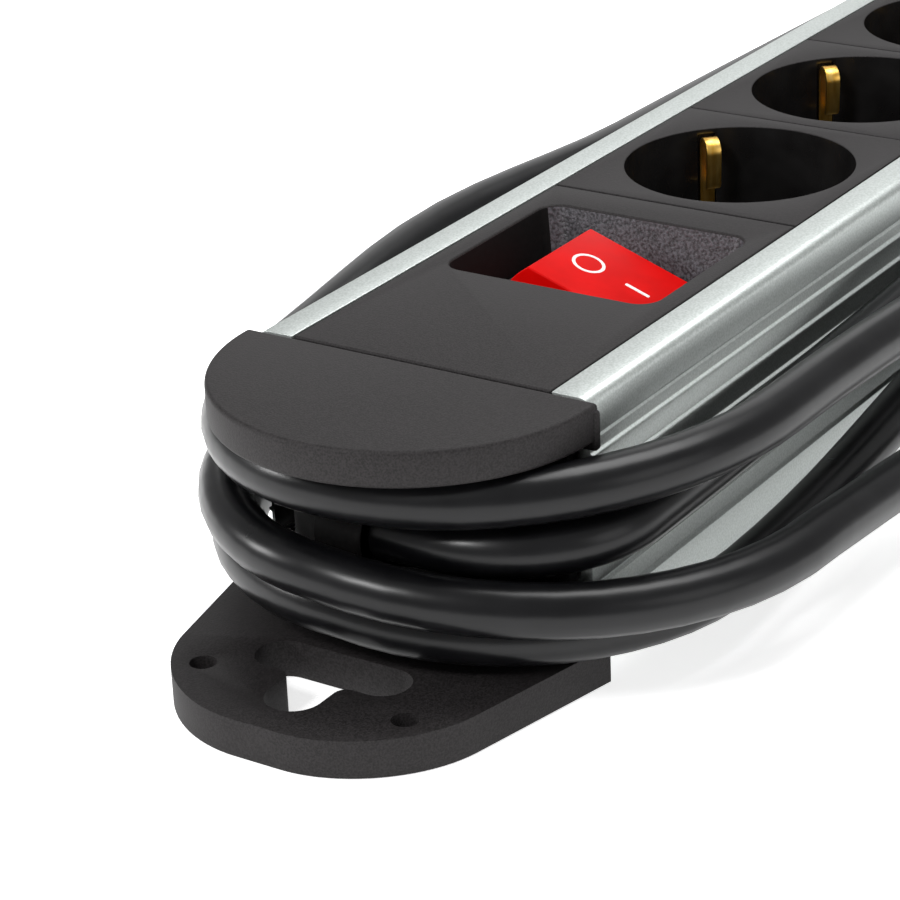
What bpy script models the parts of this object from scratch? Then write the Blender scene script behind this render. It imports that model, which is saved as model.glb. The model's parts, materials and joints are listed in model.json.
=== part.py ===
"""Desk power strip: ribbed aluminium channel, earthed sockets, rocker switch and a wound mains lead.

Millimetres below, turned into metres by MM. X runs along the strip, Y to its left, Z up.
The origin is on the floor under the middle of the strip.
"""
import math

import bmesh
import bpy
from mathutils import Matrix, Vector

MM = 0.001
CLEAR = 0.3             # gap between pieces that seat on each other

# Strip and aluminium channel
SOCKETS = 6
SOCKET_LAND = 2.6       # flat strip between the cups of two sockets
INSERT_MARGIN = 0.9     # from a cup's wall to the channel's lip
LIP_WIDTH = 6.05
SWITCH_LENGTH = 75.5
HEIGHT = 44.0
PROFILE_BOTTOM = 1.0
PROFILE_WALL = 2.0
LIP_THICK = 1.8
LEDGE_SETBACK = 1.0     # how far the ledge stays behind the lip
LEDGE_THICK = 1.2
SLOT_HEIGHT = 2.9
SLOT_WALL = 2.65
CORNER_RADIUS = 1.6
RIDGE_COUNT = 7
RIDGE_PITCH = 4.18
RIDGE_TOP_DROP = 8.9    # from the top face down to the first ridge
RIDGE_HEIGHT = 0.5
RIDGE_HALF_WIDTH = 0.5
GROOVE_DROP = 6.4
GROOVE_DEPTH = 0.35

# Screws of the end caps and the channels that they cut into
SCREW_RADIUS = 1.5
SCREW_LENGTH = 12.0
SCREW_HEAD_RADIUS = 2.4
SCREW_HEAD_HEIGHT = 1.8
SCREW_INSET = 4.2       # from the channel's inner wall
SCREW_Z = 12.2
SCREW_FIN = 1.2
SCREW_FIN_REACH = 6.5

# Socket inserts
INSERT_PLATE = 3.0
SHOULDER_HEIGHT = 2.3
SHOULDER_PLAY = 0.4
WELL_RADIUS = 19.5
RIM_ROUND = 0.5
WELL_DEPTH = 17.5
WELL_FLOOR = 2.0
WELL_WALL = 2.2
PIN_SPACING = 19.0
PIN_HOLE_RADIUS = 2.75
SOCKET_TURN = 45.0      # degrees from the strip's length to the earth clips

# Earth clips and busbars
CLIP_WIDTH = 2.6
CLIP_THICK = 0.7
CLIP_SETBACK = 1.5      # from the well's wall
CLIP_BEND = 4.6         # between the two legs of a hairpin
CLIP_TOP_DROP = 1.0
CLIP_LEG_DROP = 10.0
BAR_THICK = 0.8
BAR_GAP = 5.2
BAR_DROP = 3.55         # from the earth clip's base down to the busbars
BAR_OVERRUN = 15.0
EARTH_BAR_WIDTH = 5.2
EARTH_BAR_THICK = 1.0
TRAY_BASE = 1.7
TRAY_RIB_HEIGHT = 4.0
TRAY_RIB_WIDTH = 1.6

# Switch pocket, housing and rocker
POCKET_LENGTH = 32.9
POCKET_WIDTH = 37.6
POCKET_TAPER = 3.4
POCKET_DEPTH = 9.0
POCKET_CORNER = 3.5
POCKET_WALL = 2.0
SWITCH_X = 51.05        # from the near end of the channel
ROCKER_LENGTH = 19.4
ROCKER_HALF = 10.3
ROCKER_RISE = 9.0       # from the pivot to the face
ROCKER_CROWN = 0.5
ROCKER_TILT = 19.0
ROCKER_SKIRT = -3.0     # degrees below the pivot where the end arcs stop
ROCKER_SIDE_GAP = 0.35
PIVOT_DROP = 12.3
PIVOT_RADIUS = 1.5
PIVOT_LENGTH = 1.05
HOUSING_WALL = 1.1
HOUSING_END_GAP = 0.45
HOUSING_FLOOR = 2.0
HOUSING_LIFT = 2.7      # from the channel's floor to the terminals
BEZEL_LIP = 1.2
BEZEL_THICK = 1.3
TERMINAL_SIZE = (0.8, 6.3, 8.0)
TERMINAL_SPACING = (10.0, 12.0)

# End caps
LID_OVERHANG = 1.85     # beyond the channel's side
LID_THICK = 5.7
LID_STRAIGHT = 1.0
LID_EDGE = 0.8
LID_SKIRT_OVERHANG = 2.25
LID_SKIRT_DROP = 7.0
END_PLATE = 2.5
END_PLATE_INSET = 2.3
NECK_TIP = 17.5
NECK_MARGIN = 0.45      # between the neck and the screw heads
FLANGE_THICK = 5.9
FLANGE_TIP = 44.6
FLANGE_OVERHANG = 2.85
FLANGE_FLARE = 12.3     # degrees between the flange's sides and the strip
FLANGE_CORNER = 22.0
FLANGE_EDGE = 0.6
KEYHOLE_ARM = 26.0
KEYHOLE_ARM_WIDTH = 8.3
KEYHOLE_ARM_X = 25.35
KEYHOLE_STEM_WIDTH = 8.8
KEYHOLE_STEM_TIP = 39.3
FLANGE_HOLE_RADIUS = 2.05
FLANGE_HOLE_X = 33.0
FLANGE_HOLE_Y = 17.6

# Mains lead
LEAD_RADIUS = 4.1
OUTLET_X = 16.8         # the outlet's axis, from the near end of the channel towards the tip
OUTLET_FACE = -4.0
OUTLET_RADIUS = 6.0
OUTLET_LENGTH = 8.0
OUTLET_RELIEF = 0.6     # room round the lead where it passes the neck
BUSH_RADIUS = 5.0
BUSH_LENGTH = 6.0
FIRST_BEND = 21.8
LOOP_ARC_POINTS = 4     # steps in a quarter of a loop's end
LOOP_RUN_POINTS = 3     # points along a loop's side
STRAND_GAP = 0.5        # between strands that lie on each other
SIDE_GAP = 0.55         # between a strand and the channel's ridges
OUTER_STEP = 10.2       # how far the strand that crosses outside the others stands off
LAY_SHARE = 0.35        # share of a run in which a strand closes in
SWELL_SHARE = 0.32
TOP_SWELL = 4.0
TOP_LIFT = 4.2

# The lead's last stretch: along from the channel's near end, out from the side strands, and up
LEAD_TAIL = (
    (65.0, 17.7, 13.2), (90.0, 19.2, 10.2), (115.0, 21.7, 7.0), (140.0, 25.2, 4.8),
    (165.0, 30.7, 4.5), (185.0, 35.0, 7.4), (203.0, 37.0, 13.2),
)

# Plug
PLUG_X = 224.0          # back of the boot, from the channel's near end
PLUG_GAP = 1.9          # between the plug and the outermost strand
PLUG_RADIUS = 18.5
PLUG_NECK_RADIUS = 10.0
PLUG_DISC = 18.0
PLUG_BODY_LENGTH = 38.0
PLUG_EDGE = 1.2
BOOT_LENGTH = 26.0
BOOT_RADIUS = 8.0
BOOT_TIP_RADIUS = 5.4
PLUG_PIN_RADIUS = 2.4
PLUG_PIN_LENGTH = 19.0
PLUG_PIN_SEAT = 3.0
CONTACT_WIDTH = 6.0
CONTACT_THICK = 1.0
CONTACT_LENGTH = 14.0
CONTACT_INSET = 1.4

SOCKET_PITCH = 2 * (WELL_RADIUS + WELL_WALL) + SOCKET_LAND
STRIP_LENGTH = SWITCH_LENGTH + SOCKETS * SOCKET_PITCH
LIP_EDGE = WELL_RADIUS + WELL_WALL + INSERT_MARGIN
PROFILE_HALF = LIP_EDGE + LIP_WIDTH
LEDGE_EDGE = LIP_EDGE + LEDGE_SETBACK
SLOT_DEPTH = PROFILE_HALF - SLOT_WALL
SHOULDER_HALF = SLOT_DEPTH - SHOULDER_PLAY
RIM_RADIUS = WELL_RADIUS + RIM_ROUND
CLIP_OUTER = WELL_RADIUS - CLIP_SETBACK
CLIP_INNER = CLIP_OUTER - CLIP_BEND
LID_RADIUS = PROFILE_HALF + LID_OVERHANG
LID_SKIRT_HALF = PROFILE_HALF + LID_SKIRT_OVERHANG
END_PLATE_HALF = PROFILE_HALF - END_PLATE_INSET
FLANGE_HALF = PROFILE_HALF + FLANGE_OVERHANG
NEAR = -STRIP_LENGTH / 2
FAR = STRIP_LENGTH / 2
LIP_UNDER = HEIGHT - LIP_THICK
LEDGE_TOP = LIP_UNDER - SLOT_HEIGHT
INNER_HALF = PROFILE_HALF - PROFILE_WALL
SCREW_Y = INNER_HALF - SCREW_INSET
NECK_HALF = SCREW_Y - SCREW_HEAD_RADIUS - NECK_MARGIN
FLOOR_TOP = PROFILE_BOTTOM + PROFILE_WALL
INSERT_HALF = LIP_EDGE - CLEAR
WELL_BOTTOM = HEIGHT - WELL_DEPTH
WELL_UNDER = WELL_BOTTOM - WELL_FLOOR
CLIP_BASE = WELL_UNDER - CLEAR - CLIP_THICK / 2
TRAY_BOTTOM = FLOOR_TOP + CLEAR
BAR_BOTTOM = TRAY_BOTTOM + TRAY_BASE + CLEAR
BAR_TOP = CLIP_BASE - BAR_DROP
BAR_HALF = BAR_GAP / 2 + BAR_THICK
PIN_OFFSET = PIN_SPACING / 2 * math.sin(math.radians(SOCKET_TURN))
PIVOT_Z = HEIGHT - PIVOT_DROP
POCKET_FLOOR = HEIGHT - POCKET_DEPTH
ROCKER_RADIUS = math.hypot(ROCKER_HALF, ROCKER_RISE)
HOUSING_INNER = (ROCKER_LENGTH / 2 + ROCKER_SIDE_GAP, ROCKER_RADIUS + HOUSING_END_GAP)
HOUSING_OUTER = (HOUSING_INNER[0] + HOUSING_WALL, HOUSING_INNER[1] + HOUSING_WALL)
HOUSING_BOTTOM = FLOOR_TOP + HOUSING_LIFT + TERMINAL_SIZE[2] + CLEAR
LEAD_DIAMETER = 2 * LEAD_RADIUS
TOP_STRAND = HEIGHT - LID_THICK - CLEAR - LEAD_RADIUS
LOW_STRAND = FLANGE_THICK + CLEAR + LEAD_RADIUS
OUTLET_Z = TOP_STRAND - LEAD_DIAMETER - STRAND_GAP
SIDE_LAY = PROFILE_HALF + RIDGE_HEIGHT + LEAD_RADIUS + SIDE_GAP
OUTER_LAY = SIDE_LAY + OUTER_STEP
FAR_OUTER = SIDE_LAY + 12.7
PLUG_Y = -(FAR_OUTER + LEAD_RADIUS + PLUG_GAP + PLUG_RADIUS)
PLUG_Z = PLUG_RADIUS + CLEAR

# Loop ends at the near cap: reach of the tip, its height, then for the left and the right side
# the widest point's distance from the channel's end, the half width and the height there.
NEAR_TOP = (24.2, TOP_STRAND, (20.0, SIDE_LAY + 4.2, TOP_STRAND - 1.6), (30.0, SIDE_LAY + 9.7, TOP_STRAND))
NEAR_LOW = (22.2, LOW_STRAND + 3.5, (20.0, SIDE_LAY + 5.0, LOW_STRAND + 3.2),
            (24.0, SIDE_LAY + 6.4, LOW_STRAND - 1.0))
NEAR_OUTER = (27.3, OUTLET_Z - 3.1, (20.0, SIDE_LAY + 4.0, OUTLET_Z - 1.7),
              (28.0, SIDE_LAY + 17.0, OUTLET_Z - 9.3))
# Loop ends at the far cap are alike on both sides.
FAR_TOP = (25.5, TOP_STRAND, (30.0, SIDE_LAY + 8.2, TOP_STRAND), (30.0, SIDE_LAY + 8.2, TOP_STRAND))
FAR_LOW = (25.5, LOW_STRAND, (30.0, FAR_OUTER, LOW_STRAND), (30.0, FAR_OUTER, LOW_STRAND))
FAR_LEVEL = (TOP_STRAND + LOW_STRAND) / 2
FAR_MIDDLE = (25.5, FAR_LEVEL, (30.0, SIDE_LAY + 8.2, FAR_LEVEL), (30.0, SIDE_LAY + 8.2, FAR_LEVEL))


# Scene and materials

for old in list(bpy.data.objects):
    bpy.data.objects.remove(old, do_unlink=True)


def new_collection(name):
    collection = bpy.data.collections.new(name)
    bpy.context.scene.collection.children.link(collection)
    return collection


PARTS = new_collection("desk_power_strip")
CUTTERS = new_collection("cutters")


def material(name, colour, roughness, metallic=0.0):
    made = bpy.data.materials.new(name)
    made.use_nodes = True
    shader = made.node_tree.nodes["Principled BSDF"]
    shader.inputs["Base Color"].default_value = (*colour, 1.0)
    shader.inputs["Roughness"].default_value = roughness
    shader.inputs["Metallic"].default_value = metallic
    return made


ALUMINIUM = material("anodised_aluminium", (0.62, 0.65, 0.64), 0.35, 1.0)
BLACK = material("black_plastic", (0.03, 0.028, 0.028), 0.55)
RED = material("red_plastic", (0.7, 0.01, 0.01), 0.2)
BRASS = material("brass", (0.78, 0.55, 0.2), 0.3, 1.0)
STEEL = material("steel", (0.6, 0.6, 0.6), 0.35, 1.0)
CABLE = material("black_cable", (0.015, 0.015, 0.016), 0.3)
TRAY_GREY = material("insulating_plastic", (0.45, 0.45, 0.43), 0.6)


# Mesh helpers

def add_object(name, mesh, finish=None):
    """A named piece, or a cutter where no finish is given."""
    made = bpy.data.objects.new(name, mesh)
    if finish:
        mesh.materials.append(finish)
        PARTS.objects.link(made)
    else:
        CUTTERS.objects.link(made)
        made.hide_render = True
        made.display_type = "WIRE"
    return made


def mesh_from(build):
    """The closed mesh that build makes in a bmesh, in millimetres, turned into metres."""
    shape = bmesh.new()
    build(shape)
    bmesh.ops.recalc_face_normals(shape, faces=shape.faces)
    bmesh.ops.scale(shape, vec=(MM, MM, MM), verts=shape.verts)
    mesh = bpy.data.meshes.new("mesh")
    shape.to_mesh(mesh)
    shape.free()
    return mesh


def prism(points, along, low, high, taper=None):
    """A flat outline drawn out along an axis; taper scales the outline at its low end."""
    axis = "XYZ".index(along)

    def corner(a, b, level):
        spot = [a, b]
        spot.insert(axis, level)
        return Vector(spot)

    def build(shape):
        ring = [shape.verts.new(corner(a, b, high)) for a, b in points]
        face = shape.faces.new(ring)
        made = bmesh.ops.extrude_face_region(shape, geom=[face])
        ends = [item for item in made["geom"] if isinstance(item, bmesh.types.BMVert)]
        for vert in ends:
            vert.co[axis] = low
            if taper:
                centre, factor = taper
                for index, middle, share in zip((0, 1), centre, factor):
                    vert.co[index] = middle + (vert.co[index] - middle) * share
    return mesh_from(build)


def box(low, high):
    points = ((low[0], low[1]), (high[0], low[1]), (high[0], high[1]), (low[0], high[1]))
    return prism(points, "Z", low[2], high[2])


def cylinder(centre, axis, low, high, radius, end_radius=None, sides=24):
    """A round bar or cone along an axis, between two levels of that axis."""
    def build(shape):
        top = radius if end_radius is None else end_radius
        bmesh.ops.create_cone(shape, cap_ends=True, segments=sides, radius1=radius,
                              radius2=top, depth=high - low)
        turn = {"X": Matrix.Rotation(math.pi / 2, 4, "Y"),
                "Y": Matrix.Rotation(-math.pi / 2, 4, "X"),
                "Z": Matrix.Identity(4)}[axis]
        place = list(centre)
        place["XYZ".index(axis)] = (low + high) / 2
        bmesh.ops.transform(shape, matrix=Matrix.Translation(place) @ turn, verts=shape.verts)
    return mesh_from(build)


def arc(centre, radius, start, end, steps):
    """Points on an arc, in degrees, both ends included."""
    spots = []
    for step in range(steps + 1):
        angle = math.radians(start + (end - start) * step / steps)
        spots.append((centre[0] + radius * math.cos(angle), centre[1] + radius * math.sin(angle)))
    return spots


def rounded_box(centre, length, width, radius, steps=4):
    """A rectangle with round corners, as an outline."""
    spots = []
    for number, (sx, sy) in enumerate(((1, 1), (-1, 1), (-1, -1), (1, -1))):
        middle = (centre[0] + sx * (length / 2 - radius), centre[1] + sy * (width / 2 - radius))
        spots += arc(middle, radius, 90 * number, 90 * number + 90, steps)
    return spots


def boolean(target, mesh, operation, edge=0.0):
    """Join a shape to a piece or cut it out; edge rounds the shape's own edges first."""
    helper = add_object(target.name + "_" + operation.lower(), mesh)
    if edge:
        bevel(helper, edge)
    step = target.modifiers.new(operation.title(), "BOOLEAN")
    step.operation = operation
    step.object = helper


def bevel(target, width, angle=60.0, segments=2):
    step = target.modifiers.new("Edges", "BEVEL")
    step.width = width * MM
    step.segments = segments
    step.limit_method = "ANGLE"
    step.angle_limit = math.radians(angle)


def smooth(target, angle=35.0):
    target.data.shade_smooth()
    target.data.set_sharp_from_angle(angle=math.radians(angle))


# Aluminium channel

def profile_side():
    """Half of the channel's section, from the floor's underside round to its inside."""
    bottom_edge = 1.2
    points = [(PROFILE_HALF - bottom_edge, PROFILE_BOTTOM), (PROFILE_HALF, PROFILE_BOTTOM + bottom_edge)]
    for number in reversed(range(RIDGE_COUNT)):
        level = HEIGHT - RIDGE_TOP_DROP - RIDGE_PITCH * number
        crest = PROFILE_HALF + RIDGE_HEIGHT
        points += [(PROFILE_HALF, level - RIDGE_HALF_WIDTH), (crest, level - RIDGE_HALF_WIDTH / 3),
                   (crest, level + RIDGE_HALF_WIDTH / 3), (PROFILE_HALF, level + RIDGE_HALF_WIDTH)]
    groove = HEIGHT - GROOVE_DROP
    points += [(PROFILE_HALF, groove - GROOVE_DEPTH), (PROFILE_HALF - GROOVE_DEPTH, groove),
               (PROFILE_HALF, groove + GROOVE_DEPTH)]
    points += arc((PROFILE_HALF - CORNER_RADIUS, HEIGHT - CORNER_RADIUS), CORNER_RADIUS, 0, 90, 4)
    points += [(LIP_EDGE, HEIGHT), (LIP_EDGE, LIP_UNDER), (SLOT_DEPTH, LIP_UNDER), (SLOT_DEPTH, LEDGE_TOP),
               (LEDGE_EDGE, LEDGE_TOP), (LEDGE_EDGE, LEDGE_TOP - LEDGE_THICK),
               (INNER_HALF, LEDGE_TOP - LEDGE_THICK)]
    gap = SCREW_RADIUS + CLEAR
    for side in (1, -1):
        near_fin = SCREW_Z + side * (gap + (SCREW_FIN if side > 0 else 0))
        far_fin = SCREW_Z + side * (gap + (0 if side > 0 else SCREW_FIN))
        reach = INNER_HALF - SCREW_FIN_REACH
        points += [(INNER_HALF, near_fin), (reach, near_fin), (reach, far_fin), (INNER_HALF, far_fin)]
    points.append((INNER_HALF, FLOOR_TOP))
    return points


def make_profile():
    side = profile_side()
    outline = side + [(-y, z) for y, z in reversed(side)]
    channel = add_object("aluminium_profile", prism(outline, "X", NEAR, FAR), ALUMINIUM)
    return channel


# Inserts

def insert_blank(name, start, length):
    """A black insert between the channel's lips, with shoulders that run under them."""
    low = start + CLEAR / 2
    high = start + length - CLEAR / 2
    top = box((low, -INSERT_HALF, HEIGHT - INSERT_PLATE), (high, INSERT_HALF, HEIGHT))
    made = add_object(name, top, BLACK)
    shoulder_top = LIP_UNDER - CLEAR
    inset = CLEAR / 2
    shoulder = box((low + inset, -SHOULDER_HALF, shoulder_top - SHOULDER_HEIGHT),
                   (high - inset, SHOULDER_HALF, shoulder_top))
    boolean(made, shoulder, "UNION")
    return made


def clip_turn(x):
    """Places a shape built along X at the origin across a socket, on the line of its earth clips."""
    turn = Matrix.Rotation(math.radians(SOCKET_TURN), 4, "Z")
    return Matrix.Translation((x * MM, 0, 0)) @ turn


def turned(mesh, matrix):
    mesh.transform(matrix)
    return mesh


def make_socket(number):
    start = NEAR + SWITCH_LENGTH + number * SOCKET_PITCH
    x = start + SOCKET_PITCH / 2
    made = insert_blank(f"socket_insert_{number + 1}", start, SOCKET_PITCH)
    axis = (x, 0, 0)
    overlap = 1.0
    cup_top = HEIGHT - INSERT_PLATE + overlap
    boolean(made, cylinder(axis, "Z", WELL_UNDER, cup_top, WELL_RADIUS + WELL_WALL, sides=48), "UNION")
    boolean(made, cylinder(axis, "Z", WELL_BOTTOM, HEIGHT + overlap, WELL_RADIUS, sides=48), "DIFFERENCE")
    rim = RIM_RADIUS - WELL_RADIUS
    boolean(made, cylinder(axis, "Z", HEIGHT - rim, HEIGHT + rim, WELL_RADIUS, RIM_RADIUS + rim, 48),
            "DIFFERENCE")
    for side in (1, -1):
        hole = (x + side * PIN_OFFSET, -side * PIN_OFFSET, 0)
        boolean(made, cylinder(hole, "Z", WELL_UNDER - overlap, WELL_BOTTOM + overlap, PIN_HOLE_RADIUS,
                               sides=16), "DIFFERENCE")
        slot_half = CLIP_WIDTH / 2 + CLEAR
        slot_in = CLIP_OUTER - CLIP_THICK / 2 - CLEAR
        slot_out = WELL_RADIUS + WELL_WALL / 2
        low = (min(side * slot_in, side * slot_out), -slot_half, WELL_UNDER - overlap)
        high = (max(side * slot_in, side * slot_out), slot_half, HEIGHT - CLIP_TOP_DROP)
        boolean(made, turned(box(low, high), clip_turn(x)), "DIFFERENCE")


def make_earth_clip(number):
    """One brass strip: a hairpin in each side of the well, joined under the well's floor."""
    x = NEAR + SWITCH_LENGTH + (number + 0.5) * SOCKET_PITCH
    bend = (CLIP_OUTER - CLIP_INNER) / 2
    bend_z = HEIGHT - CLIP_TOP_DROP - CLIP_THICK / 2 - bend
    half = [(CLIP_INNER + CLIP_THICK, HEIGHT - CLIP_LEG_DROP)]
    half += arc((CLIP_OUTER - bend, bend_z), bend, 180, 0, 8)
    half.append((CLIP_OUTER, CLIP_BASE))
    path = half + [(-r, z) for r, z in reversed(half)]

    def build(shape):
        rows = []
        for r, z in path:
            rows.append([shape.verts.new((r, side * CLIP_WIDTH / 2, z)) for side in (-1, 1)])
        for first, second in zip(rows, rows[1:]):
            shape.faces.new((first[0], first[1], second[1], second[0]))
    mesh = turned(mesh_from(build), clip_turn(x))
    made = add_object(f"earth_clip_{number + 1}", mesh, BRASS)
    wall = made.modifiers.new("Strip", "SOLIDIFY")
    wall.thickness = CLIP_THICK * MM
    wall.offset = 0.0
    wall.use_even_offset = True


def make_busbars():
    first = NEAR + SWITCH_LENGTH + SOCKET_PITCH / 2 - BAR_OVERRUN
    last = FAR - SOCKET_PITCH / 2 + BAR_OVERRUN
    for name, y in (("line_busbar", -PIN_OFFSET), ("neutral_busbar", PIN_OFFSET)):
        gap = BAR_GAP / 2
        floor = BAR_BOTTOM + BAR_THICK
        outline = [(y - BAR_HALF, BAR_BOTTOM), (y + BAR_HALF, BAR_BOTTOM), (y + BAR_HALF, BAR_TOP),
                   (y + gap, BAR_TOP), (y + gap, floor), (y - gap, floor), (y - gap, BAR_TOP),
                   (y - BAR_HALF, BAR_TOP)]
        add_object(name, prism(outline, "X", first, last), BRASS)
    strip_top = CLIP_BASE - CLIP_THICK / 2 - CLEAR
    half = EARTH_BAR_WIDTH / 2
    add_object("earth_busbar", box((first, -half, strip_top - EARTH_BAR_THICK), (last, half, strip_top)), BRASS)
    make_tray(first, last)


def make_tray(first, last):
    """A comb section: a floor with a rib between the busbars and one on each outer side."""
    middle = PIN_OFFSET - BAR_HALF - CLEAR
    outer = PIN_OFFSET + BAR_HALF + CLEAR
    floor = TRAY_BOTTOM + TRAY_BASE
    top = floor + TRAY_RIB_HEIGHT
    edge = outer + TRAY_RIB_WIDTH
    outline = [(-edge, TRAY_BOTTOM), (edge, TRAY_BOTTOM), (edge, top), (outer, top), (outer, floor),
               (middle, floor), (middle, top), (-middle, top), (-middle, floor), (-outer, floor),
               (-outer, top), (-edge, top)]
    add_object("busbar_tray", prism(outline, "X", first, last), TRAY_GREY)


# Switch

def make_switch_cover():
    made = insert_blank("switch_cover", NEAR, SWITCH_LENGTH)
    x = NEAR + SWITCH_X
    overlap = 1.0
    walls = rounded_box((x, 0), POCKET_LENGTH + 2 * POCKET_WALL, POCKET_WIDTH + 2 * POCKET_WALL,
                        POCKET_CORNER + POCKET_WALL)
    boolean(made, prism(walls, "Z", POCKET_FLOOR - POCKET_WALL, HEIGHT - INSERT_PLATE + overlap), "UNION")
    mouth = rounded_box((x, 0), POCKET_LENGTH, POCKET_WIDTH, POCKET_CORNER)
    shares = (1 - POCKET_TAPER / POCKET_LENGTH, 1 - POCKET_TAPER / POCKET_WIDTH)
    boolean(made, prism(mouth, "Z", POCKET_FLOOR, HEIGHT, ((x, 0), shares)), "DIFFERENCE")
    boolean(made, prism(mouth, "Z", HEIGHT - CLEAR / 10, HEIGHT + overlap), "DIFFERENCE")
    half_x = HOUSING_OUTER[0] + CLEAR
    half_y = HOUSING_OUTER[1] + CLEAR
    boolean(made, box((x - half_x, -half_y, POCKET_FLOOR - POCKET_WALL - overlap),
                      (x + half_x, half_y, POCKET_FLOOR + overlap)), "DIFFERENCE")


def make_switch_housing():
    """An open box under the pocket's floor, with a bezel on it and a hole for each trunnion."""
    x = NEAR + SWITCH_X
    low = POCKET_FLOOR + CLEAR
    top = low + BEZEL_THICK
    bezel_x = HOUSING_OUTER[0] + BEZEL_LIP
    bezel_y = HOUSING_OUTER[1] + BEZEL_LIP
    made = add_object("switch_housing", box((x - bezel_x, -bezel_y, low), (x + bezel_x, bezel_y, top)), BLACK)
    overlap = 0.5
    body = box((x - HOUSING_OUTER[0], -HOUSING_OUTER[1], HOUSING_BOTTOM),
               (x + HOUSING_OUTER[0], HOUSING_OUTER[1], low + overlap))
    boolean(made, body, "UNION")
    cavity = box((x - HOUSING_INNER[0], -HOUSING_INNER[1], HOUSING_BOTTOM + HOUSING_FLOOR),
                 (x + HOUSING_INNER[0], HOUSING_INNER[1], top + overlap))
    boolean(made, cavity, "DIFFERENCE")
    reach = HOUSING_OUTER[0] + overlap
    boolean(made, cylinder((x, 0, PIVOT_Z), "X", x - reach, x + reach, PIVOT_RADIUS + CLEAR, sides=16),
            "DIFFERENCE")
    blade_x, blade_y, blade_z = TERMINAL_SIZE
    count = 0
    for side_x in (-1, 1):
        for side_y in (-1, 1):
            count += 1
            spot_x = x + side_x * TERMINAL_SPACING[0] / 2
            spot_y = side_y * TERMINAL_SPACING[1] / 2
            blade_top = HOUSING_BOTTOM - CLEAR
            blade = box((spot_x - blade_x / 2, spot_y - blade_y / 2, blade_top - blade_z),
                        (spot_x + blade_x / 2, spot_y + blade_y / 2, blade_top))
            add_object(f"switch_terminal_{count}", blade, BRASS)


def make_rocker():
    """A crowned face on two end arcs about the pivot, tilted with its I side down."""
    crown_radius = (ROCKER_HALF ** 2 + ROCKER_CROWN ** 2) / (2 * ROCKER_CROWN)
    crown_angle = math.degrees(math.asin(ROCKER_HALF / crown_radius))
    crown_centre = (0, ROCKER_RISE + ROCKER_CROWN - crown_radius)
    corner = math.degrees(math.atan2(ROCKER_RISE, ROCKER_HALF))
    outline = arc((0, 0), ROCKER_RADIUS, ROCKER_SKIRT, corner, 5)
    outline += arc(crown_centre, crown_radius, 90 - crown_angle, 90 + crown_angle, 6)[1:-1]
    outline += arc((0, 0), ROCKER_RADIUS, 180 - corner, 180 - ROCKER_SKIRT, 5)
    half = ROCKER_LENGTH / 2
    made = add_object("rocker", prism(outline, "X", -half, half), RED)
    overlap = 0.5
    stub = half + PIVOT_LENGTH
    for low, high in ((-stub, overlap - half), (half - overlap, stub)):
        boolean(made, cylinder((0, 0, 0), "X", low, high, PIVOT_RADIUS, sides=12), "UNION")
    pivot = bpy.data.objects.new("rocker_pivot", None)
    PARTS.objects.link(pivot)
    pivot.location = ((NEAR + SWITCH_X) * MM, 0, PIVOT_Z * MM)
    pivot.rotation_euler = (math.radians(ROCKER_TILT), 0, 0)
    made.parent = pivot
    for helper in CUTTERS.objects:
        if helper.name.startswith("rocker_"):
            helper.parent = pivot


# End caps

def flange_outline():
    """The base flange: a blunt tip, broad round corners and sides that flare to the channel."""
    slope = math.tan(math.radians(FLANGE_FLARE))
    tip_half = FLANGE_HALF - FLANGE_TIP * slope
    reach = FLANGE_CORNER * math.tan(math.radians((90 - FLANGE_FLARE) / 2))
    centre = (FLANGE_TIP - FLANGE_CORNER, tip_half - reach)
    half = [(CLEAR, FLANGE_HALF)] + arc(centre, FLANGE_CORNER, 90 - FLANGE_FLARE, 0, 9)
    return half + [(x, -y) for x, y in reversed(half)]


def keyhole_outline():
    """A cross arm with round ends and a stem towards the tip, as one T-shaped outline."""
    radius = KEYHOLE_ARM_WIDTH / 2
    arm = KEYHOLE_ARM / 2 - radius
    stem = KEYHOLE_STEM_WIDTH / 2
    stem_end = KEYHOLE_STEM_TIP - stem
    near_side = KEYHOLE_ARM_X + radius
    half = arc((KEYHOLE_ARM_X, arm), radius, 180, 0, 8) + [(near_side, stem + radius / 3)]
    half += [(near_side + radius / 3, stem)]
    half += arc((stem_end, 0), stem, 90, 0, 5)
    return half + [(x, -y) for x, y in reversed(half[:-1])]


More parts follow.
